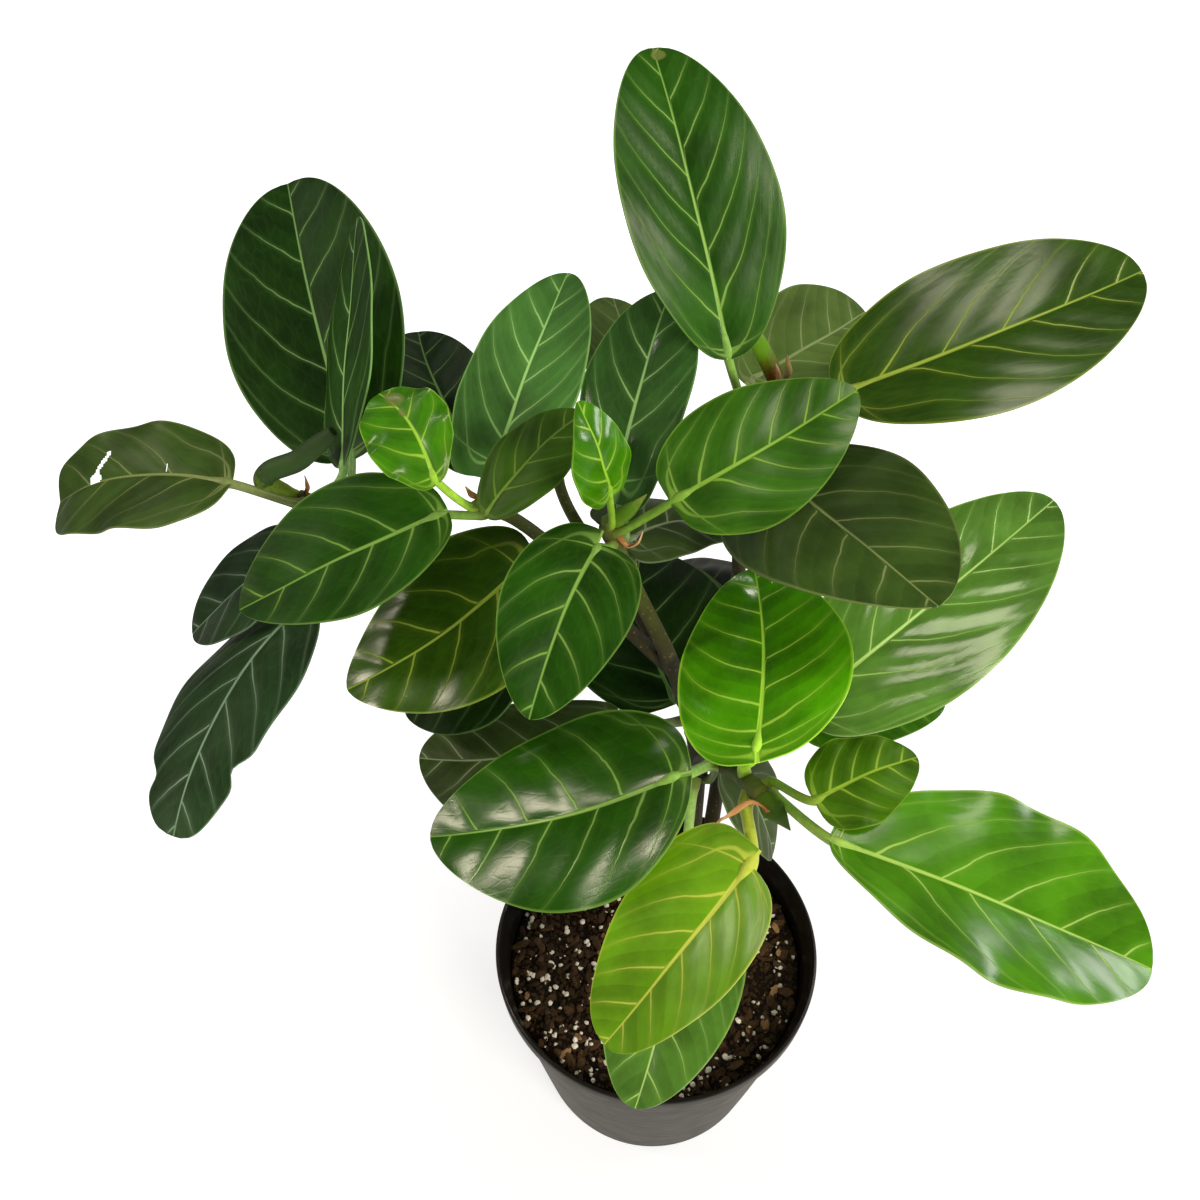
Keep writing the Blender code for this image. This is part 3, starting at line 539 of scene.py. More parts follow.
        "roll": -12, "arch": 3, "sway": 11, "fold": 2, "cup": -8, "hook": 3, "twist": 15, "widest": 0.72,
        "lean": 0.09, "blunt": (0.62, 0.38), "waist": 0.22, "wave": 1.0, "colour": "blue", "shade": 1.21,
        "gloss": 0.44, "veins": 5},
    "rearLeafMiddle": {
        "stem": "rear", "below": 4, "base": (-21, 146, 367), "tip": (-23, 213, 371), "width": 42,
        "roll": -14, "sway": 2, "fold": 7, "widest": 0.94, "colour": "misty", "shade": 0.86, "gloss": 0.44,
        "veins": 4},
    "rearLeafLeft": {
        "stem": "rear", "below": 14, "base": (-88, 138, 345), "tip": (-120, 229, 339), "width": 57,
        "roll": -7, "sway": -4, "widest": 0.92, "lean": -0.06, "heart": 2, "cordate": 17, "colour": "deep",
        "shade": 1.03, "gloss": 0.44, "veins": 5},
    "backLeafTop": {
        "stem": "back", "below": 26, "base": (21, 112, 419), "tip": (-8, 215, 490), "width": 67, "roll": -4,
        "fold": 11, "cup": -2, "widest": 0.92, "lean": 0.05, "blunt": (0.56, 0.5), "heart": 1.5,
        "cordate": 3, "shade": 0.89, "gloss": 0.29, "sweep": 1.1, "dry": ((0.975, 0.12, 0.03, 0.5),)},
    "backLeafRight": {
        "stem": "back", "below": 4, "base": (67, 108, 403), "tip": (194, 160, 422), "width": 69,
        "roll": -23, "arch": 6, "sway": 3, "fold": 9, "cup": -2, "hook": 2, "twist": -5, "widest": 0.87,
        "lean": -0.03, "blunt": (0.49, 0.51), "heart": 2, "cordate": 3, "colour": "olive", "shade": 0.92,
        "gloss": 0.27, "veins": 5, "sweep": 1.1},
    "backLeafGrey": {
        "stem": "back", "below": 16, "base": (37, 150, 374), "tip": (95, 204, 369), "width": 57,
        "roll": -10, "arch": 9, "sway": 5, "fold": 9, "cup": -1, "hook": 1, "twist": -20, "widest": 0.89,
        "lean": -0.05, "blunt": (0.49, 0.57), "heart": 2, "cordate": 4, "colour": "misty", "shade": 1.4,
        "gloss": 0.44, "veins": 4},
    "backLeafBroad": {
        "stem": "back", "below": 64, "base": (47, 128, 342), "tip": (97, 23, 372), "width": 89, "roll": -7,
        "arch": 5, "sway": 3, "twist": 15, "widest": 0.89, "lean": 0.03, "heart": 2, "cordate": 4,
        "colour": "drab", "shade": 1.04, "gloss": 0.44, "veins": 5},
    # painted shade: this leaf lies in deep shade inside the plant, and its colour is darkened almost to
    # black
    "backLeafLow": {
        "stem": "back", "below": 118, "base": (34, 122, 264), "tip": (12, 170, 232), "width": 42,
        "roll": -5, "arch": 3, "fold": 6, "cup": -4, "widest": 0.91, "colour": "deep", "shade": 0.4,
        "gloss": 0.44, "veins": 4},
}


def leafAxes(row):
    # base and tip, then the directions along the midrib, across the blade and up from it
    base, tip = np.array(row["base"]) * mm, np.array(row["tip"]) * mm
    along = (tip - base) / np.linalg.norm(tip - base)
    level = np.cross(along, [0, 0, 1])
    level /= np.linalg.norm(level)
    roll = math.radians(row["roll"])
    across = level * math.cos(roll) + np.cross(level, along) * math.sin(roll)
    return base, tip, along, across, np.cross(across, along)


def halfWidth(row, u):
    start, end = row["blunt"]
    outline = np.maximum(0, np.sin(np.pi * np.clip(u, 0, 1) ** row["widest"]))
    return row["width"] * mm / 2 * outline ** (start + (end - start) * u)


def veinPhase(row, u, v, side):
    # counts the side veins from base to tip. Some fan out from the base itself; the others leave the
    # midrib by turns left and right, sweep towards the tip and bend along the margin
    reach = np.abs(side) / (row["width"] * mm / 2)
    sweep = row["sweep"] * (0.30 * reach + 0.16 * reach ** 3 + 0.10 * np.abs(v) ** 5 * (1 - u))
    turns = (0.45 * (side > 1e-5) + row["seed"] * 0.13 % 0.4) * smooth01(u / 0.25)
    return row["veins"] * (u - sweep) + 0.75 * (1 - np.exp(-u / 0.10)) + 0.9 - turns


def bladeSurface(row, u, v):
    # points of the blade's middle surface, u from base to tip and v from edge to edge, with the width and
    # the length there
    base, tip, along, across, up = leafAxes(row)
    turn = row["seed"] * 2.4  # no two leaves ripple alike
    bow = 4 * u * (1 - u)

    # outline: the foot parts at the petiole, and a waist narrows some blades near the tip
    footDepth = min(1, (row["heart"] + row["cordate"]) / 4)
    notch = row["petiole"] * 0.03 * mm * smooth01(np.abs(v) * 4) * np.exp(-u / 0.010) * footDepth
    waist = 1 - row["waist"] * np.exp(-((u - 0.76 - 0.05 * np.sign(v)) / 0.05) ** 2)
    side = v * halfWidth(row, u) * (1 + np.sign(v) * row["lean"]) * waist + np.sign(v) * notch

    # bends: arched, hooked, folded along the midrib, twisted and cupped
    fold, twist = math.radians(row["fold"]), np.radians(row["twist"]) * (u - 0.5)
    lift = row["arch"] * mm * bow + row["hook"] * mm * u ** 3
    lift += np.abs(side) * math.sin(fold) + side * np.sin(twist)
    lift += row["cup"] * mm * (side / (row["width"] * mm / 2)) ** 2
    shift = row["sway"] * mm * bow + side * math.cos(fold) * np.cos(twist)

    # surface: quilted between the side veins, with a wavy margin
    inside = smooth01(np.abs(side) / (6 * mm)) * (1 - np.abs(v) ** 6) * smooth01(u / 0.1)
    inside *= smooth01((1 - u) / 0.1)
    phase = veinPhase(row, u, v, side)
    lift += row["quilt"] * mm * (np.abs(np.sin(np.pi * phase)) ** 0.8 - 0.5) * inside
    ripple = np.sin(2 * np.pi * row["waves"] * u + turn + (v > 0) * 1.7)
    lift += row["wave"] * mm * ripple * np.abs(v) ** 3 * bow
    lift += 0.5 * mm * np.sin(9 * u + 3 * v + turn) * bow

    # foot: heart-shaped lobes reach back past the petiole
    lobe = np.where(v < 0, *row["lobes"])
    back = row["cordate"] * lobe * mm * smooth01(1 - u / 0.22) ** 1.5 * smooth01(np.abs(v) * 1.4)
    ahead = row["heart"] * mm * (1 - u) ** 4 * (1 - lobe * np.abs(v)) - back * (1 - 0.3 * np.exp(-u / 0.012))
    lift -= 0.2 * back
    point = base + (tip - base) * u[..., None] + across * shift[..., None] + up * lift[..., None]
    return point + along * ahead[..., None], side, u * np.linalg.norm(tip - base) + ahead


def gridNormals(points):
    # unit normals that point up from the upper skin, so that every leaf's faces point outwards
    du, dv = np.gradient(points, axis=0), np.gradient(points, axis=1)
    du[0], du[-1] = du[1], du[-2]
    dv[0], dv[-1] = dv[1], dv[-2]
    normal = np.cross(dv, du)
    return normal / np.maximum(np.linalg.norm(normal, axis=2), 1e-12)[..., None]


def leafStalk(row):
    # from inside the stem's skin to the blade's base, then as the rib under the blade
    row = {**row, "wave": 0}
    _, _, along, _, up = leafAxes(row)
    start = bladeSurface(row, np.array([0.0]), np.array([0.0]))[0][0]
    foot, out = seat(row, start)
    radius = row["petiole"] * mm
    end = start - up * radius * 0.3
    lean = (start - foot) / np.linalg.norm(start - foot)
    out = (out + lean) / np.linalg.norm(out + lean)
    knee = foot + out * radius * 1.7
    reach = np.linalg.norm(end - knee)
    a, b = knee + out * min(reach * 0.2, 3 * mm), end - along * reach * 0.16 - up * reach * 0.03
    path, radii = [foot], [radius * 1.32]
    for t in np.arange(18) / 18:  # one smooth bend, thicker at both ends
        path.append(knee * (1 - t) ** 3 + a * 3 * t * (1 - t) ** 2 + b * 3 * t * t * (1 - t) + end * t ** 3)
        swell = 0.28 * math.exp(-(t / 0.16) ** 2) + 0.10 * math.exp(-((1 - t) / 0.10) ** 2)
        radii.append(radius * (0.92 + swell))
    for u in 0.94 * (np.arange(20) / 19) ** 1.3:
        rib = radius * (0.98 * (1 - u) ** 2.4) + 0.28 * mm
        place = bladeSurface(row, np.array([u]), np.array([0.0]))[0][0]
        path.append(place - up * rib * (0.3 + 0.6 * smooth01(u / 0.10)))
        radii.append(rib)
    return np.array(path), np.array(radii)


def bladeGrid(finer):
    # shares of the length and of the half width, closer together at both ends and at the midrib
    rows, columns = leafBuild["rows"] * finer, leafBuild["columns"] * finer
    along = np.arange(rows + 1) / rows
    u = 0.72 * (1 - np.cos(np.pi * along)) / 2 + 0.28 * along
    u[1], u[-2] = u[1] * 0.35, 1 - (1 - u[-2]) * 0.35
    spread = np.linspace(-1, 1, columns + 1)
    v = np.sign(spread) * (0.35 * np.abs(spread) + 0.65 * np.abs(spread) ** 1.35)
    return np.meshgrid(u, v, indexing="ij")


def cellsLeft(row, middle):
    # the grid cells that a blade still has once its tears are taken out
    cells = middle[1:, 1:] / 2 + middle[:-1, :-1] / 2
    left = np.ones(cells.shape[:2], bool)
    for *spots, reach in row["torn"]:
        line = bladeSurface(row, *np.array(spots).T)[0]
        ways = []
        for start, end in zip(line, line[1:]):
            share = np.clip((cells - start) @ (end - start) / ((end - start) @ (end - start)), 0, 1)
            ways.append(np.linalg.norm(cells - start - share[..., None] * (end - start), axis=2))
        left &= np.min(ways, 0) > reach * mm
    return left


def bladeFaces(index, left):
    # top and underside of each cell left, and the thin rim round them. Material 0 is the upper skin and
    # 1 the underside, whose points follow those of the top
    under = index.size
    faces, kinds = [], []
    for i, k in zip(*np.nonzero(left)):
        ring = [int(index[spot]) for spot in ((i, k), (i, k + 1), (i + 1, k + 1), (i + 1, k))]
        corners = tuple(dict.fromkeys(ring))
        faces += [corners, tuple(c + under for c in reversed(corners))]
        kinds += [0, 1]
        near = ((i - 1, k), (i, k + 1), (i + 1, k), (i, k - 1))
        for a, b, (row, column) in zip(ring, ring[1:] + ring[:1], near):
            onGrid = 0 <= row < left.shape[0] and 0 <= column < left.shape[1]
            if a != b and not (onGrid and left[row, column]):
                faces.append((b, a, a + under, b + under))
                kinds.append(0)
    return faces, kinds


def leafPlans(row, u, v, side, forward):
    # what the leaf skins read at each point, lengths in mm: the way out from the midrib, the way past the
    # lowest pair of veins and the share of the half width; the count of side veins, the gap between two
    # of them and the midrib's half width; then gloss and dryness
    across = side / mm
    length = np.linalg.norm(np.array(row["tip"]) - np.array(row["base"]))
    fromFoot = (forward - forward[0, forward.shape[1] // 2]) / mm
    basal = fromFoot - 0.10 * np.abs(across) - 0.012 * across ** 2
    gap = (length - 4 * row["heart"] * (1 - u) ** 3) / (row["veins"] + 7.5 * np.exp(-u / 0.10)) * 0.86
    midrib = row["petiole"] * 0.36 * (1 - u) ** 1.2 + 0.22
    dry = np.zeros_like(u)
    for spotU, spotV, sizeU, sizeV in row["dry"]:
        dry = np.maximum(dry, 1 - np.sqrt(((u - spotU) / sizeU) ** 2 + ((v - spotV) / sizeV) ** 2))
    return {"bladePlan": (across, basal, np.abs(v)),
            "veinPlan": (veinPhase(row, u, v, side), gap, midrib),
            "leafFinish": (np.full_like(u, row["gloss"]), np.clip(dry, 0, 1), np.zeros_like(u))}


def makeLeaf(name, row, materials):
    row = {**plainLeaf, **row}
    u, v = bladeGrid(2 if row["torn"] else 1)  # tears need a finer grid
    middle, side, forward = bladeSurface(row, u, v)
    normal = gridNormals(middle)
    ribWidth = row["petiole"] * 0.62 * mm
    groove = leafBuild["groove"] * mm * np.exp(-(side / ribWidth) ** 2) * (1 - u)
    half = leafBuild["thickness"] * mm / 2
    upper, lower = middle + normal * (half - groove)[..., None], middle - normal * half
    index = np.arange(u.size).reshape(u.shape)
    midrib = u.shape[1] // 2
    index[-1] = index[-1, midrib]  # the tip closes to one point, and so does a base with no notch
    if row["heart"] + row["cordate"] == 0:
        index[0] = index[0, midrib]
    faces, kinds = bladeFaces(index, cellsLeft(row, middle))
    path, radii = leafStalk(row)
    stalk, stalkFaces = tubeMesh(path, radii, leafBuild["sides"], start=2 * u.size)
    faces += stalkFaces
    kinds += [2] * len(stalkFaces)
    used = sorted({i for f in faces for i in f})
    place = {old: new for new, old in enumerate(used)}
    points = np.vstack([upper.reshape(-1, 3), lower.reshape(-1, 3), stalk])[used]
    leaf = newPiece(name, points, [tuple(place[i] for i in f) for f in faces], materials, kinds)
    leaf.data.set_sharp_from_angle(angle=math.radians(60))
    stalkPlan = np.zeros((len(stalk), 3))
    stalkPlan[:, 1] = np.repeat(np.linspace(0, 1, len(path)), leafBuild["sides"])
    for label, values in leafPlans(row, u, v, side, forward).items():
        flat = np.stack(values, -1).reshape(-1, 3)
        onStalk = stalkPlan if label == "bladePlan" else stalkPlan * 0
        setPointValues(leaf, label, np.vstack([flat, flat, onStalk])[used])
    for label, colour in zip(("bladeColour", "veinColour"), leafColours[row["colour"]]):
        # painted light and shade: each leaf's blade and vein colours are scaled by its shade, which also
        # stands for how brightly that leaf is lit
        setPointValues(leaf, label, np.tile(np.array(hexToLinear(colour)) * row["shade"], (len(used), 1)))
    return fromFrame(leaf, "leaf_green", nodeName(name))


def makeLeafSkin(name, upper, ior):
    # living fig leaf: a waxy cuticle over green flesh, with pale sunken side veins and a fine ladder of
    # smaller veins between them. The underside is duller and paler, and its veins stand proud.
    material, tree, shader, place = newMaterial(name, 0.3, ior)
    read = {}
    for label, output in (("bladePlan", "Vector"), ("veinPlan", "Vector"), ("leafFinish", "Vector"),
                          ("bladeColour", "Color"), ("veinColour", "Color")):
        read[label] = addNode(tree, "ShaderNodeAttribute", attribute_name=label).outputs[output]
    blade, vein = read["bladeColour"], read["veinColour"]
    across, basal, margin = addNode(tree, "ShaderNodeSeparateXYZ", {0: read["bladePlan"]}).outputs
    phase, gap, ribWidth = addNode(tree, "ShaderNodeSeparateXYZ", {0: read["veinPlan"]}).outputs
    gloss, dryness, _ = addNode(tree, "ShaderNodeSeparateXYZ", {0: read["leafFinish"]}).outputs

    # side veins: distance to the nearest whole number of the vein count, in mm
    wander = addNode(tree, "ShaderNodeTexNoise", {"Vector": place, "Scale": 1 / (26 * mm), "Detail": 3})
    shifted = addNode(tree, "ShaderNodeMath", {0: wander, 1: 0.30, 2: phase}, operation="MULTIPLY_ADD")
    wrapped = addNode(tree, "ShaderNodeMath", {0: shifted, 1: 0.5, 2: -0.5}, operation="WRAP")
    offset = addNode(tree, "ShaderNodeMath", {0: wrapped}, operation="ABSOLUTE")
    upward = addNode(tree, "ShaderNodeMath", {0: offset, 1: gap}, operation="MULTIPLY")
    sideways = addNode(tree, "ShaderNodeMath", {0: basal}, operation="ABSOLUTE")
    distance = addNode(tree, "ShaderNodeMath", {0: upward, 1: sideways}, operation="MINIMUM")
    width = addNode(tree, "ShaderNodeMapRange", {"Value": margin, "To Min": 0.42, "To Max": 0.16})
    inVein = addNode(tree, "ShaderNodeMath", {0: width, 1: distance}, operation="SUBTRACT")
    line = addNode(tree, "ShaderNodeMapRange", {"Value": inVein, "From Min": -0.22, "From Max": 0.12})
    fade = addNode(tree, "ShaderNodeMapRange", {"Value": margin, "From Min": 0.2, "From Max": 0.93,
                                                "To Min": 0.78, "To Max": 0.10})
    side = addNode(tree, "ShaderNodeMath", {0: line, 1: fade}, operation="MULTIPLY")

    # midrib, and the ladder of small veins that cross from one side vein to the next
    off = addNode(tree, "ShaderNodeMath", {0: across}, operation="ABSOLUTE")
    inRib = addNode(tree, "ShaderNodeMath", {0: ribWidth, 1: off}, operation="SUBTRACT")
    rib = addNode(tree, "ShaderNodeMapRange", {"Value": inRib, "From Min": -0.3, "From Max": 0.25})
    lines = addNode(tree, "ShaderNodeMath", {0: side, 1: rib}, operation="MAXIMUM")
    climb = addNode(tree, "ShaderNodeMath", {0: shifted, 1: 2.2}, operation="MULTIPLY")
    rung = addNode(tree, "ShaderNodeMath", {0: across, 1: 1 / 4.5}, operation="MULTIPLY")  # 4.5 mm apart
    ladder = addNode(tree, "ShaderNodeCombineXYZ", {0: rung, 1: climb})
    net = addNode(tree, "ShaderNodeTexVoronoi", {"Vector": ladder, "Scale": 1.0}, feature="DISTANCE_TO_EDGE")
    small = addNode(tree, "ShaderNodeMapRange", {"Value": net, "From Min": 0.0, "From Max": 0.09,
                                                 "To Min": 1.0, "To Max": 0.0})
    halo = addNode(tree, "ShaderNodeMapRange", {"Value": distance, "From Min": 0.2, "From Max": 3.0,
                                                "To Min": 0.10, "To Max": 0})

    # colour: flesh with painted light and shade, in broad random blotches that are partly the flesh's own
    # uneven tone and across each panel between two side veins, then halo, ladder, veins, pale margin and
    # dried patches
    mottleAndPaintedLight = addNode(tree, "ShaderNodeTexNoise", {"Vector": place, "Scale": 1 / (30 * mm), "Detail": 5,
                                                  "Roughness": 0.5})
    # painted shade and light: each panel between two side veins is lighter towards one vein and darker
    # towards the next, as its quilted surface would be lit
    paintedPanelShadeAndBlotches = addNode(tree, "ShaderNodeMath", {0: wrapped, 1: 0.09, 2: mottleAndPaintedLight}, operation="MULTIPLY_ADD")
    light = addNode(tree, "ShaderNodeMapRange", {"Value": paintedPanelShadeAndBlotches, "From Min": 0.34, "From Max": 0.66,
                                                 "To Min": 0.66, "To Max": 1.26})
    flesh = addNode(tree, "ShaderNodeMix", {"Factor": 0.0 if upper else 0.45, "A": blade, "B": "#71875a"},
                    data_type="RGBA")
    toned = addNode(tree, "ShaderNodeVectorMath", {0: flesh, "Scale": light}, operation="SCALE")
    rungs = addNode(tree, "ShaderNodeMath", {0: small, 1: 0.025 if upper else 0.3}, operation="MULTIPLY")
    rim = addNode(tree, "ShaderNodeMapRange", {"Value": margin, "From Min": 0.965, "From Max": 0.995,
                                               "To Max": 0.5})
    colour = toned
    for share in (halo, rungs, lines, rim):
        colour = addNode(tree, "ShaderNodeMix", {"Factor": share, "A": colour, "B": vein}, data_type="RGBA")
    crumple = addNode(tree, "ShaderNodeTexNoise", {"Vector": place, "Scale": 1 / (3 * mm), "Detail": 3})
    dryEdge = addNode(tree, "ShaderNodeMath", {0: crumple, 1: 0.35, 2: dryness}, operation="MULTIPLY_ADD")
    dryShare = addNode(tree, "ShaderNodeMapRange", {"Value": dryEdge, "From Min": 0.40, "From Max": 0.60,
                                                    "To Max": 0.85})
    dried = addNode(tree, "ShaderNodeMix", {"Factor": dryShare, "A": colour, "B": "#76803a"},
                    data_type="RGBA")

    # relief in mm: blistered flesh, veins sunk on top and proud below, and fine grain
    blister = addNode(tree, "ShaderNodeTexNoise", {"Vector": ladder, "Scale": 0.7, "Detail": 1})
    fine = addNode(tree, "ShaderNodeTexNoise", {"Vector": place, "Scale": 1 / (1.2 * mm), "Detail": 2})
    proud = -1 if upper else 1.5
    relief = addNode(tree, "ShaderNodeMath", {0: blister, 1: 0.16}, operation="MULTIPLY")
    for part, height in ((lines, 0.20 * proud), (small, 0.015 * proud), (fine, 0.008)):
        relief = addNode(tree, "ShaderNodeMath", {0: part, 1: height, 2: relief}, operation="MULTIPLY_ADD")
    bump = addNode(tree, "ShaderNodeBump", {"Height": relief, "Strength": 0.6, "Distance": 1 * mm})
    rough = addNode(tree, "ShaderNodeMath", {0: lines, 1: 0.10, 2: gloss}, operation="MULTIPLY_ADD")
    duller = addNode(tree, "ShaderNodeMath", {0: rough, 1: 0.0 if upper else 0.25}, operation="ADD")
    setSockets(tree, shader, {"Base Color": dried, "Roughness": duller, "Normal": bump})
    return material


def makeStalkSkin():
    # fig petiole: smooth pale green skin with fine lengthways streaks, browner where it leaves the stem
    material, tree, shader, place = newMaterial("figPetioleSkin", 0.38, 1.45)
    plan = addNode(tree, "ShaderNodeAttribute", attribute_name="bladePlan").outputs["Vector"]
    vein = addNode(tree, "ShaderNodeAttribute", attribute_name="veinColour").outputs["Color"]
    blade = addNode(tree, "ShaderNodeAttribute", attribute_name="bladeColour").outputs["Color"]
    _, along, _ = addNode(tree, "ShaderNodeSeparateXYZ", {0: plan}).outputs
    streaks = addNode(tree, "ShaderNodeTexNoise", {"Vector": place, "Scale": 1 / (2.5 * mm), "Detail": 4})
    share = addNode(tree, "ShaderNodeMapRange", {"Value": streaks, "From Min": 0.35, "From Max": 0.7,
                                                 "To Min": 0.0, "To Max": 0.28})
    green = addNode(tree, "ShaderNodeMix", {"Factor": share, "A": vein, "B": blade}, data_type="RGBA")
    foot = addNode(tree, "ShaderNodeMapRange", {"Value": along, "From Min": 0.0, "From Max": 0.14,
                                                "To Min": 0.65, "To Max": 0})
    skin = addNode(tree, "ShaderNodeMix", {"Factor": foot, "A": green, "B": "#6b5f2c"}, data_type="RGBA")
    bump = addNode(tree, "ShaderNodeBump", {"Height": streaks, "Strength": 0.25, "Distance": 0.25 * mm})
    setSockets(tree, shader, {"Base Color": skin, "Normal": bump})
    return material


# Potting mix: peat with bark chips and perlite. The body's sizes are in metres, the bits' in mm.
soilShape = {"top": 0.104, "clearance": 0.0008, "rings": 70, "sides": 160, "lump": 0.0022, "grit": 0.0009,
             "wallSteps": (0.080, 0.040, 0.004), "footInset": 0.0055}
soilBits = {
    "peatCrumbs": {
        "count": 4200, "size": (1.2, 3.2), "stretch": (0.7, 1.4), "flat": (0.5, 1.0), "detail": 1,
        "rough": 0.45, "sunk": 0.35, "seed": 3},
    "barkChips": {
        "count": 520, "size": (2.2, 5.0), "stretch": (1.0, 2.6), "flat": (0.2, 0.5), "detail": 2,
        "rough": 0.42, "sunk": 0.7, "seed": 7},
    "paleBarkChips": {
        "count": 26, "size": (2.0, 4.2), "stretch": (1.2, 2.6), "flat": (0.25, 0.5), "detail": 2,
        "rough": 0.40, "sunk": 1.0, "seed": 19},
    "perliteGrains": {
        "count": 520, "size": (0.8, 3.4), "stretch": (0.7, 1.3), "flat": (0.6, 1.0), "detail": 2,
        "rough": 0.40, "sunk": 1.0, "seed": 11},
}


def soilHeight(x, y):
    place = Vector((x, y, 0.3))
    lump = noise.noise(place * 45) + 0.5 * noise.noise(place * 120)
    return soilShape["top"] + soilShape["lump"] * lump + soilShape["grit"] * noise.noise(place * 420)


def soilTop(reach):
    # rings of points from the middle to the pot's wall
    rings, sides = soilShape["rings"], soilShape["sides"]
    points, faces = [(0, 0, soilHeight(0, 0))], []
    for i in range(1, rings + 1):
        r = (wallRadius(soilShape["top"]) - potShape["wall"] - soilShape["clearance"]) * reach * i / rings
        for k in range(sides):
            turn = 2 * math.pi * k / sides
            x, y = r * math.cos(turn), r * math.sin(turn)
            points.append((x, y, soilHeight(x, y) - 0.001 * smooth01((i / rings * reach - 0.9) / 0.1)))
    faces += [(0, 1 + k, 1 + (k + 1) % sides) for k in range(sides)]
    for i in range(rings - 1):
        low, high = 1 + i * sides, 1 + (i + 1) * sides
        faces += [(low + k, high + k, high + (k + 1) % sides, low + (k + 1) % sides) for k in range(sides)]
    return points, faces


def makeSoil(material):
    # the lumpy top, then rings down the wall to the pot's floor, out of sight
    points, faces = soilTop(1.0)
    sides = soilShape["sides"]
    last = len(points) - sides
    for z in soilShape["wallSteps"]:
        start = len(points)
        r = wallRadius(z) - potShape["wall"] - soilShape["clearance"]
        if z == soilShape["wallSteps"][-1]:
            r = min(r, potShape["baseRadius"] - soilShape["footInset"])
        points += [(r * math.cos(2 * math.pi * k / sides), r * math.sin(2 * math.pi * k / sides), z)
                   for k in range(sides)]
        for k in range(sides):
            after = (k + 1) % sides
            faces.append((last + k, start + k, start + after, last + after))
        last = start
    faces.append(tuple(last + k for k in reversed(range(sides))))
    soil = newPiece("pottingMixBody", outOfRound(points), faces, [material])
    return fromFrame(soil, "potting_mix", "potting_soil")


def makeScatterTree(name):
    # scatters rough lumps over a surface; each lump carries its own tone
    tree = bpy.data.node_groups.new(name, "GeometryNodeTree")
    tree.interface.new_socket("Surface", in_out="INPUT", socket_type="NodeSocketGeometry")
    for label, kind, value in (("Density", "Float", 1e5), ("Smallest", "Float", 0.001),
                               ("Largest", "Float", 0.003), ("Longest", "Vector", (1, 1, 1)),
                               ("Shortest", "Vector", (1, 1, 1)), ("Detail", "Int", 1),
                               ("Roughness", "Float", 0.3), ("Lift", "Float", 0.0), ("Seed", "Int", 1)):
        socket = tree.interface.new_socket(label, in_out="INPUT", socket_type="NodeSocket" + kind)
        socket.default_value = value
    tree.interface.new_socket("Material", in_out="INPUT", socket_type="NodeSocketMaterial")
    tree.interface.new_socket("Lumps", in_out="OUTPUT", socket_type="NodeSocketGeometry")
    given = addNode(tree, "NodeGroupInput").outputs
    seed = given["Seed"]
    spots = addNode(tree, "GeometryNodeDistributePointsOnFaces",
                    {"Mesh": given["Surface"], "Density": given["Density"], "Seed": seed})
    lump = addNode(tree, "GeometryNodeMeshIcoSphere", {"Radius": 0.5, "Subdivisions": given["Detail"]})
    spin = addNode(tree, "FunctionNodeRandomValue",
                   {"Min": (-0.6, -0.6, 0), "Max": (0.6, 0.6, 6.28), "Seed": seed}, data_type="FLOAT_VECTOR")
    size = addNode(tree, "FunctionNodeRandomValue",
                   {"Min": given["Smallest"], "Max": given["Largest"], "Seed": seed}, data_type="FLOAT")
    shape = addNode(tree, "FunctionNodeRandomValue",
                    {"Min": given["Shortest"], "Max": given["Longest"], "Seed": seed},
                    data_type="FLOAT_VECTOR")
    scale = addNode(tree, "ShaderNodeVectorMath", {0: shape, "Scale": size}, operation="SCALE")
    placed = addNode(tree, "GeometryNodeInstanceOnPoints",
                     {"Points": spots, "Instance": lump, "Rotation": spin, "Scale": scale})
    tone = addNode(tree, "FunctionNodeRandomValue", {"Seed": seed}, data_type="FLOAT")
    toned = addNode(tree, "GeometryNodeStoreNamedAttribute",
                    {"Geometry": placed, "Name": "tone", "Value": tone},
                    data_type="FLOAT", domain="INSTANCE")
    real = addNode(tree, "GeometryNodeRealizeInstances", {"Geometry": toned})
    pits = addNode(tree, "ShaderNodeTexNoise", {"Scale": 900.0, "Detail": 1})  # about 1.1 mm apart
    push = addNode(tree, "ShaderNodeVectorMath", {0: pits.outputs["Color"], 1: (0.5, 0.5, 0.5)},
                   operation="SUBTRACT")
    depth = addNode(tree, "ShaderNodeMath", {0: given["Roughness"], 1: given["Largest"]},
                    operation="MULTIPLY")
    offset = addNode(tree, "ShaderNodeVectorMath", {0: push, "Scale": depth}, operation="SCALE")
    raised = addNode(tree, "ShaderNodeCombineXYZ", {"Z": given["Lift"]})
    moved = addNode(tree, "ShaderNodeVectorMath", {0: offset, 1: raised}, operation="ADD")
    rough = addNode(tree, "GeometryNodeSetPosition", {"Geometry": real, "Offset": moved})
    dressed = addNode(tree, "GeometryNodeSetMaterial", {"Geometry": rough, "Material": given["Material"]})
    addNode(tree, "NodeGroupOutput", {"Lumps": dressed})
    return tree


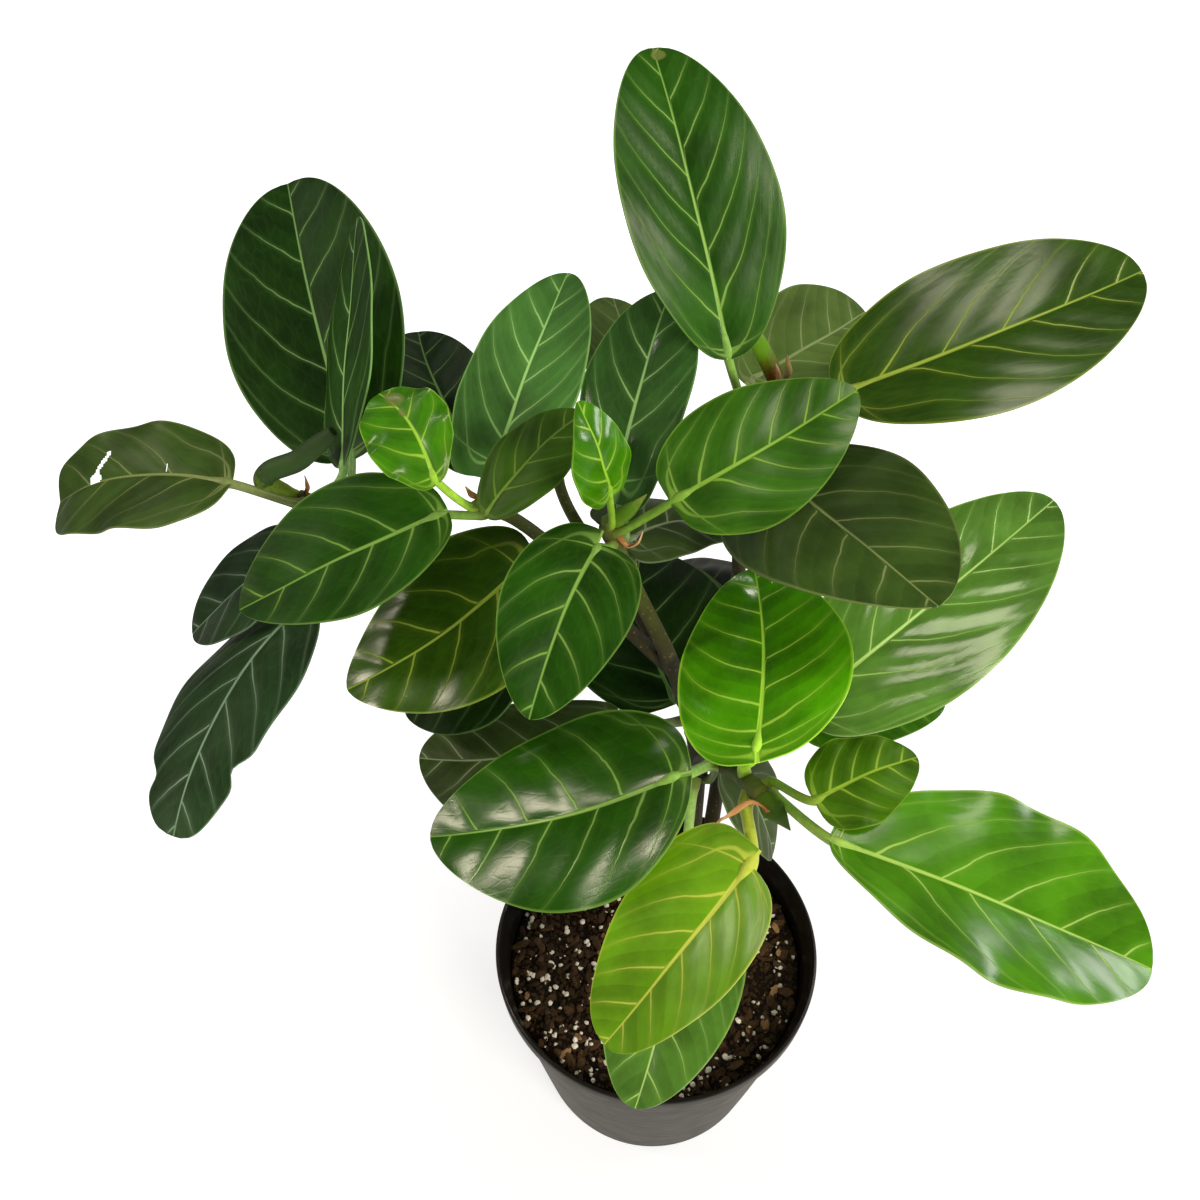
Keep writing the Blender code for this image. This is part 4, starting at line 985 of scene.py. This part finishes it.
def makeScatter(name, tree, material):
    row = soilBits[name]
    points, faces = soilTop(0.985)  # short of the pot's wall
    bits = newPiece(name, outOfRound(points), faces, [material])
    scatter = bits.modifiers.new("scatter", "NODES")
    scatter.node_group = tree
    area = math.pi * (wallRadius(soilShape["top"]) * 0.975) ** 2
    small, large = (s * mm for s in row["size"])
    (shortest, longest), (thinnest, thickest) = row["stretch"], row["flat"]
    values = {"Density": row["count"] / area, "Smallest": small, "Largest": large,
              "Shortest": (shortest, 0.75, thinnest), "Longest": (longest, 1.1, thickest),
              "Detail": row["detail"], "Roughness": row["rough"], "Lift": (row["sunk"] - 0.4) * small,
              "Seed": row["seed"], "Material": material}
    for item in tree.interface.items_tree:
        if item.in_out == "INPUT" and item.name in values:
            scatter[item.identifier] = values[item.name]
    applyModifiers(bits)
    return fromFrame(bits, "potting_mix")


def makeEarth(name, dark, light, grit, roughness):
    # peat, bark or perlite, damp: matt, grainy, with a tone of its own for each lump
    material, tree, shader, place = newMaterial(name, roughness, 1.4)
    tone = addNode(tree, "ShaderNodeAttribute", attribute_name="tone").outputs["Fac"]
    grain = addNode(tree, "ShaderNodeTexNoise", {"Vector": place, "Scale": 1 / (grit * mm), "Detail": 5,
                                                 "Roughness": 0.7})
    share = addNode(tree, "ShaderNodeMath", {0: tone, 1: 0.55, 2: grain}, operation="MULTIPLY_ADD")
    level = addNode(tree, "ShaderNodeMapRange", {"Value": share, "From Min": 0.35, "From Max": 1.1})
    colour = addNode(tree, "ShaderNodeMix", {"Factor": level, "A": dark, "B": light}, data_type="RGBA")
    bump = addNode(tree, "ShaderNodeBump", {"Height": grain, "Strength": 0.7, "Distance": 0.5 * mm})
    setSockets(tree, shader, {"Base Color": colour, "Normal": bump})
    return material


# Buds, rolled young leaves and dried stipules: the stem, how far below its tip, then points in mm and
# the radius in mm at the foot and at each point, close to the solids. Flat and curl are shares of the
# radius, twist and scroll are in turns, and seam is the height of the sheath's overlap as a share.
budShapes = {
    "frontBud": {
        "stem": "front", "below": 0, "path": [(39, -18, 296), (42, -21, 295), (47, -25, 290)],
        "radius": (3.0, 4.5, 3.8, 0.2), "flat": 0.4, "seam": 0.10, "skin": "greenBud"},
    "centreBud": {
        "stem": "centre", "below": 0, "path": [(-22, 62, 379), (-17, 62, 384), (-11, 65, 389)],
        "radius": (2.8, 3.6, 2.6, 0.2), "flat": 0.7, "seam": 0.10, "skin": "limeBud"},
    "backBud": {
        "stem": "back", "below": 0, "path": [(50, 134, 392), (49, 133, 397), (48, 133, 402)],
        "radius": (1.3, 1.6, 1.2, 0.2), "flat": 0.9, "seam": 0.10, "skin": "tanBud"},
    "backRolledLeaf": {
        "stem": "back", "below": 2,
        "path": [(43, 129, 394), (38, 128, 405), (32, 128, 416), (27, 128, 419), (25, 128, 412)],
        "radius": (2.6, 4.2, 4.2, 3.6, 3.0, 0.8), "flat": 0.45, "scroll": 1.35, "skin": "redRolledLeaf"},
    "farLeftRolledLeaf": {
        "stem": "farLeft", "below": 0,
        "path": [(-164, 105, 350), (-172, 105, 356), (-168, 105, 363), (-156, 106, 368), (-147, 106, 376),
                 (-138, 106, 384)],
        "radius": (1.8, 3.4, 4.8, 5.0, 5.1, 5.0, 4.5, 3.2), "flat": 0.85, "scroll": 1.3,
        "skin": "rolledLeaf"},
    "frontDriedStipule": {
        "stem": "front", "below": 2,
        "path": [(37, -22, 300), (33, -21, 304), (29, -21, 305), (24, -24, 303), (19, -26, 301),
                 (17, -27, 299)],
        "radius": (0.6, 0.9, 0.9, 1.1, 1.6, 1.1, 0.4), "flat": 0.3, "curl": 0.6, "twist": 0.9,
        "skin": "stipule"},
    "centreDriedStipule": {
        "stem": "centre", "below": 4,
        "path": [(-21, 60, 369), (-18, 59, 366), (-14, 61, 366), (-12, 64, 369)],
        "radius": (0.8, 1.3, 1.3, 1.1, 0.4), "flat": 0.3, "curl": 0.6, "twist": 0.3, "skin": "stipule"},
    "leftDriedStipule": {
        "stem": "left", "below": 0, "path": [(-79, 71, 383), (-81, 70, 388)], "radius": (0.8, 1.6, 0.5),
        "flat": 0.35, "curl": 0.5, "twist": 0.2, "skin": "stipule"},
    "backDriedStipule": {
        "stem": "back", "below": 9, "path": [(45, 125, 392), (44, 123, 400), (42, 122, 406)],
        "radius": (0.8, 1.5, 1.4, 0.3), "flat": 0.3, "curl": 0.6, "twist": 0.3, "skin": "stipule"},
    "farLeftDriedStipule": {
        "stem": "farLeft", "below": 3, "path": [(-154, 105, 353), (-154, 105, 360)],
        "radius": (0.8, 1.6, 0.4), "flat": 0.35, "curl": 0.5, "twist": 0.2, "skin": "stipule"},
}
budFacing = (0, -0.64, 0.77)  # the way that seams, open scrolls and flat sides face: forwards and up


def sheathSection(row, angle, share):
    # one ring of a sheath wound round itself, or of a dry curled ribbon, about its own middle
    ridge = np.exp(-((((angle - 2.2 + 1.2 * share) % 6.283) - 1.5) / 0.30) ** 2)
    a, b = np.cos(angle), np.sin(angle) * row["flat"]
    a, b = a * (1 + row.get("seam", 0) * ridge), b * (1 + row.get("seam", 0) * ridge)
    return a, b + row.get("curl", 0) * (a ** 2 - 0.5)


def scrollSection(row, count, wall):
    # one ring of a rolled leaf: out along the spiral's outer face and back along its inner one
    turn = np.linspace(0, 2 * np.pi * row["scroll"], count // 2)
    reach = 1 - 0.36 * turn / turn[-1]
    angle = np.concatenate([turn, turn[::-1]])
    reach = np.concatenate([reach, reach[::-1] - wall])
    return reach * np.cos(angle), reach * np.sin(angle) * row["flat"]


def makeBud(name, skins):
    row = budShapes[name]
    foot, _ = seat(row, np.array(row["path"][0]) * mm)
    path = smoothPath([foot, *(np.array(row["path"]) * mm)], 12)
    share = np.linspace(0, 1, len(path))
    radii = np.interp(share, np.linspace(0, 1, len(row["radius"])), row["radius"]) * mm
    radii[1:-1] = (radii[:-2] + 2 * radii[1:-1] + radii[2:]) / 4
    sides = 52 if "scroll" in row else 24
    points, faces = tubeMesh(path, radii, sides)
    rings = points.reshape(len(path), sides, 3)
    angle = 2 * np.pi * np.arange(sides) / sides
    tangents = np.gradient(path, axis=0)
    for i, centre in enumerate(path):
        across = np.cross(tangents[i], budFacing)
        across *= radii[i] / np.linalg.norm(across)
        through = np.cross(across, tangents[i]) / np.linalg.norm(tangents[i])
        turn = 2 * np.pi * row.get("twist", 0) * share[i]
        first = across * math.cos(turn) + through * math.sin(turn)
        second = through * math.cos(turn) - across * math.sin(turn)
        if "scroll" in row:
            a, b = scrollSection(row, sides, min(0.18, 0.6 * mm / radii[i]))
        else:
            a, b = sheathSection(row, angle, share[i])
        rings[i] = centre + np.outer(a, first) + np.outer(b, second)
    bud = newPiece(name, rings.reshape(-1, 3), faces, [skins[row["skin"]]])
    setPointValues(bud, "reach", np.repeat(share, sides))
    bud.data.set_sharp_from_angle(angle=math.radians(70))
    return fromFrame(bud, "dried_stipule" if row["skin"] == "stipule" else "bud_green", nodeName(name))


def makeBudSkin(name, foot, body, tip, roughness):
    # tight young fig growth: smooth waxy skin that changes colour from foot to tip, finely streaked
    material, tree, shader, place = newMaterial(name, roughness, 1.45)
    reach = addNode(tree, "ShaderNodeAttribute", attribute_name="reach").outputs["Fac"]
    streaks = addNode(tree, "ShaderNodeTexNoise", {"Vector": place, "Scale": 1 / (1.8 * mm), "Detail": 4})
    along = addNode(tree, "ShaderNodeMath", {0: streaks, 1: 0.3, 2: reach}, operation="MULTIPLY_ADD")
    low = addNode(tree, "ShaderNodeMapRange", {"Value": along, "From Min": 0.34, "From Max": 0.60})
    high = addNode(tree, "ShaderNodeMapRange", {"Value": along, "From Min": 0.85, "From Max": 1.15})
    lower = addNode(tree, "ShaderNodeMix", {"Factor": low, "A": foot, "B": body}, data_type="RGBA")
    colour = addNode(tree, "ShaderNodeMix", {"Factor": high, "A": lower, "B": tip}, data_type="RGBA")
    bump = addNode(tree, "ShaderNodeBump", {"Height": streaks, "Strength": 0.35, "Distance": 0.3 * mm})
    setSockets(tree, shader, {"Base Color": colour, "Normal": bump})
    return material


# Lamps: place, target, width and height in metres, power in watts, colour. One with "mirrored" False
# lights but isn't mirrored in gloss, and "misses" names leaves that it doesn't light.
lamps = {
    "frontKey": {"at": (0.80, -1.10, 1.05), "to": (0, 0.05, 0.28), "size": (0.55, 0.55), "watts": 18,
                 "hex": "#fffaf0", "mirrored": False},
    "highWindow": {"at": (0.62, 0.05, 1.50), "to": (0, 0.05, 0.30), "size": (0.30, 0.30), "watts": 3.2,
                   "hex": "#fff6dc"},
    "rightWindow": {"at": (1.20, 0.22, 0.71), "to": (0, 0.05, 0.30), "size": (0.30, 0.26), "watts": 3.2,
                    "hex": "#fffdf8"},
    "leftWindow": {"at": (-1.006, 0.05, 1.03), "to": (0, 0.05, 0.28), "size": (0.18, 0.18), "watts": 2.9,
                   "hex": "#fff1d8", "misses": ("backLeafTop", "backLeafRight")},
    "rearLeftWindow": {"at": (-1.00, 0.78, 1.06), "to": (0, 0.05, 0.30), "size": (0.10, 0.10), "watts": 0.7,
                       "hex": "#fff8ea"},
    "rearWindow": {"at": (-0.15, 1.40, 0.93), "to": (0, 0.05, 0.30), "size": (0.07, 0.07), "watts": 0.6,
                   "hex": "#fff8ea"},
}

# Sky is what lights matt surfaces, room is what gloss mirrors. The floor's own white goes from near to
# far over a reach in metres, and the camera is placed in metres and tilted up from straight down.
studio = {
    "sky": 0.33, "room": 0.045, "paper": "#ebe8e4", "paperGlow": 1.40, "near": 0.52, "far": 0.94,
    "reach": (0.10, 0.42), "cameraAt": (-0.029, -0.27, 0.725), "cameraTilt": 40, "cameraLens": 36.9,
}


def makeFloor():
    # white sweep: mostly its own even white to the camera, the rest is real light, so a soft shadow stays
    material = bpy.data.materials.new("whitePaperSweep")
    material.use_nodes = True
    tree = material.node_tree
    tree.nodes.clear()
    rays = addNode(tree, "ShaderNodeLightPath").outputs
    place = addNode(tree, "ShaderNodeTexCoord").outputs["Object"]
    away = addNode(tree, "ShaderNodeVectorMath", {0: place}, operation="LENGTH").outputs["Value"]
    start, end = studio["reach"]
    white = addNode(tree, "ShaderNodeMapRange", {"Value": away, "From Min": start, "From Max": end,
                                                 "To Min": studio["near"], "To Max": studio["far"]})
    seen = addNode(tree, "ShaderNodeMath", {0: rays["Is Camera Ray"], 1: white}, operation="MULTIPLY")
    paper = addNode(tree, "ShaderNodeBsdfDiffuse", {"Color": studio["paper"]})
    glow = addNode(tree, "ShaderNodeEmission", {"Color": (1, 1, 1, 1), "Strength": studio["paperGlow"]})
    mixed = addNode(tree, "ShaderNodeMixShader", {0: seen, 1: paper, 2: glow})
    addNode(tree, "ShaderNodeOutputMaterial", {"Surface": mixed})
    floor = newPiece("paperFloor", [(-5, -5, 0), (5, -5, 0), (5, 5, 0), (-5, 5, 0)], [(0, 1, 2, 3)],
                     [material], smooth=False)


def makeWorld():
    # plain white to the camera, a soft sky to matt surfaces and a dim room to gloss
    world = bpy.data.worlds.new("studioSky")
    world.use_nodes = True
    bpy.context.scene.world = world
    tree = world.node_tree
    tree.nodes.clear()
    rays = addNode(tree, "ShaderNodeLightPath").outputs
    lit = addNode(tree, "ShaderNodeMix", {"Factor": rays["Is Glossy Ray"], "A": studio["sky"],
                                          "B": studio["room"]}, data_type="FLOAT")
    level = addNode(tree, "ShaderNodeMix", {"Factor": rays["Is Camera Ray"], "A": lit, "B": 1.0},
                    data_type="FLOAT")
    sky = addNode(tree, "ShaderNodeBackground", {"Color": (1, 1, 1, 1), "Strength": level})
    addNode(tree, "ShaderNodeOutputWorld", {"Surface": sky})


def makeLamps():
    for name, row in lamps.items():
        data = bpy.data.lights.new(name, "AREA")
        data.shape, data.energy, data.color = "RECTANGLE", row["watts"], hexToLinear(row["hex"])[:3]
        data.size, data.size_y = row["size"]
        lamp = bpy.data.objects.new(name, data)
        lamp.location = row["at"]
        lamp.rotation_euler = (Vector(row["to"]) - Vector(row["at"])).to_track_quat("-Z", "Y").to_euler()
        lamp.visible_glossy = row.get("mirrored", True)  # a bounced key light leaves no glare at low angles
        bpy.context.scene.collection.objects.link(lamp)
        if "misses" in row:  # edge-on, these leaves would mirror nothing but this window
            missed = bpy.data.collections.new(name + "Misses")
            lamp.light_linking.receiver_collection = missed
            for leaf in row["misses"]:
                missed.objects.link(bpy.data.objects[leaf])
            for member in missed.collection_objects:
                member.light_linking.link_state = "EXCLUDE"


def makeCamera():
    data = bpy.data.cameras.new("standingView")
    data.lens, data.sensor_width, data.sensor_fit = studio["cameraLens"], 36, "HORIZONTAL"
    data.clip_start, data.clip_end = 0.02, 30
    camera = bpy.data.objects.new("standingView", data)
    camera.location = studio["cameraAt"]
    camera.rotation_euler = (math.radians(studio["cameraTilt"]), 0, 0)
    bpy.context.scene.collection.objects.link(camera)
    bpy.context.scene.camera = camera


def feetOnStems():
    # how far below its tip each stem carries something
    feet = {}
    for row in leafShapes.values():
        feet.setdefault(row["stem"], []).append(row["below"])
    return feet


makeCamera()
makeWorld()
makeFloor()
bpy.context.scene.view_settings.view_transform = "Standard"
print("stage 2: camera, sky and floor")

makePot(makePotPlastic())
makeSoil(makeEarth("dampPeat", "#0f0804", "#2e1d10", 2.2, 0.9))
scatterTree = makeScatterTree("scatterLumps")
makeScatter("peatCrumbs", scatterTree, makeEarth("peatCrumb", "#170d06", "#44301c", 1.2, 0.85))
makeScatter("barkChips", scatterTree, makeEarth("compostedBark", "#20120a", "#523a22", 1.6, 0.7))
makeScatter("paleBarkChips", scatterTree, makeEarth("weatheredBark", "#5a3f28", "#a98258", 1.4, 0.75))
makeScatter("perliteGrains", scatterTree, makeEarth("expandedPerlite", "#cfc0a2", "#fff6e4", 1.0, 0.85))
print("stage 3: pot and potting mix")

bark = makeBark()
feet = feetOnStems()
makeStem("centreStemWithShoots", ["centre", "left", "farLeft", "front", "rear"], "centre_stem", bark, feet)
makeStem("backStemBark", ["back"], "back_stem", bark, feet)
print("stage 4: stems")

waxySkin, dullSkin = makeLeafSkin("waxyFigLeaf", True, 1.45), makeLeafSkin("dullFigLeaf", True, 1.26)
underside, stalkSkin = makeLeafSkin("figLeafUnderside", False, 1.35), makeStalkSkin()
for number, (name, row) in enumerate(leafShapes.items()):
    upper = dullSkin if row.get("gloss", plainLeaf["gloss"]) > leafBuild["dullAbove"] else waxySkin
    makeLeaf(name, {**row, "seed": number}, [upper, underside, stalkSkin])
makeLamps()  # once the leaves that a lamp misses are there
print("stage 5:", len(leafShapes), "leaves and", len(lamps), "lamps")

budSkins = {
    "greenBud": makeBudSkin("greenBudSheath", "#55701e", "#3d5c14", "#4a5e18", 0.45),
    "limeBud": makeBudSkin("limeBudSheath", "#6b8220", "#557d18", "#8a9440", 0.42),
    "tanBud": makeBudSkin("tanBudSheath", "#7d6a38", "#a8935a", "#8f6b3c", 0.45),
    "redRolledLeaf": makeBudSkin("rolledYoungLeafRedFoot", "#6e2410", "#5c8a0c", "#6f7a24", 0.34),
    "rolledLeaf": makeBudSkin("rolledYoungLeaf", "#8fae30", "#345020", "#2b431c", 0.60),
    "stipule": makeBudSkin("driedStipuleSkin", "#8a4a20", "#c08a54", "#e0b888", 0.55),
}
for name in budShapes:
    makeBud(name, budSkins)
print("stage 6: buds, rolled leaves and stipules")
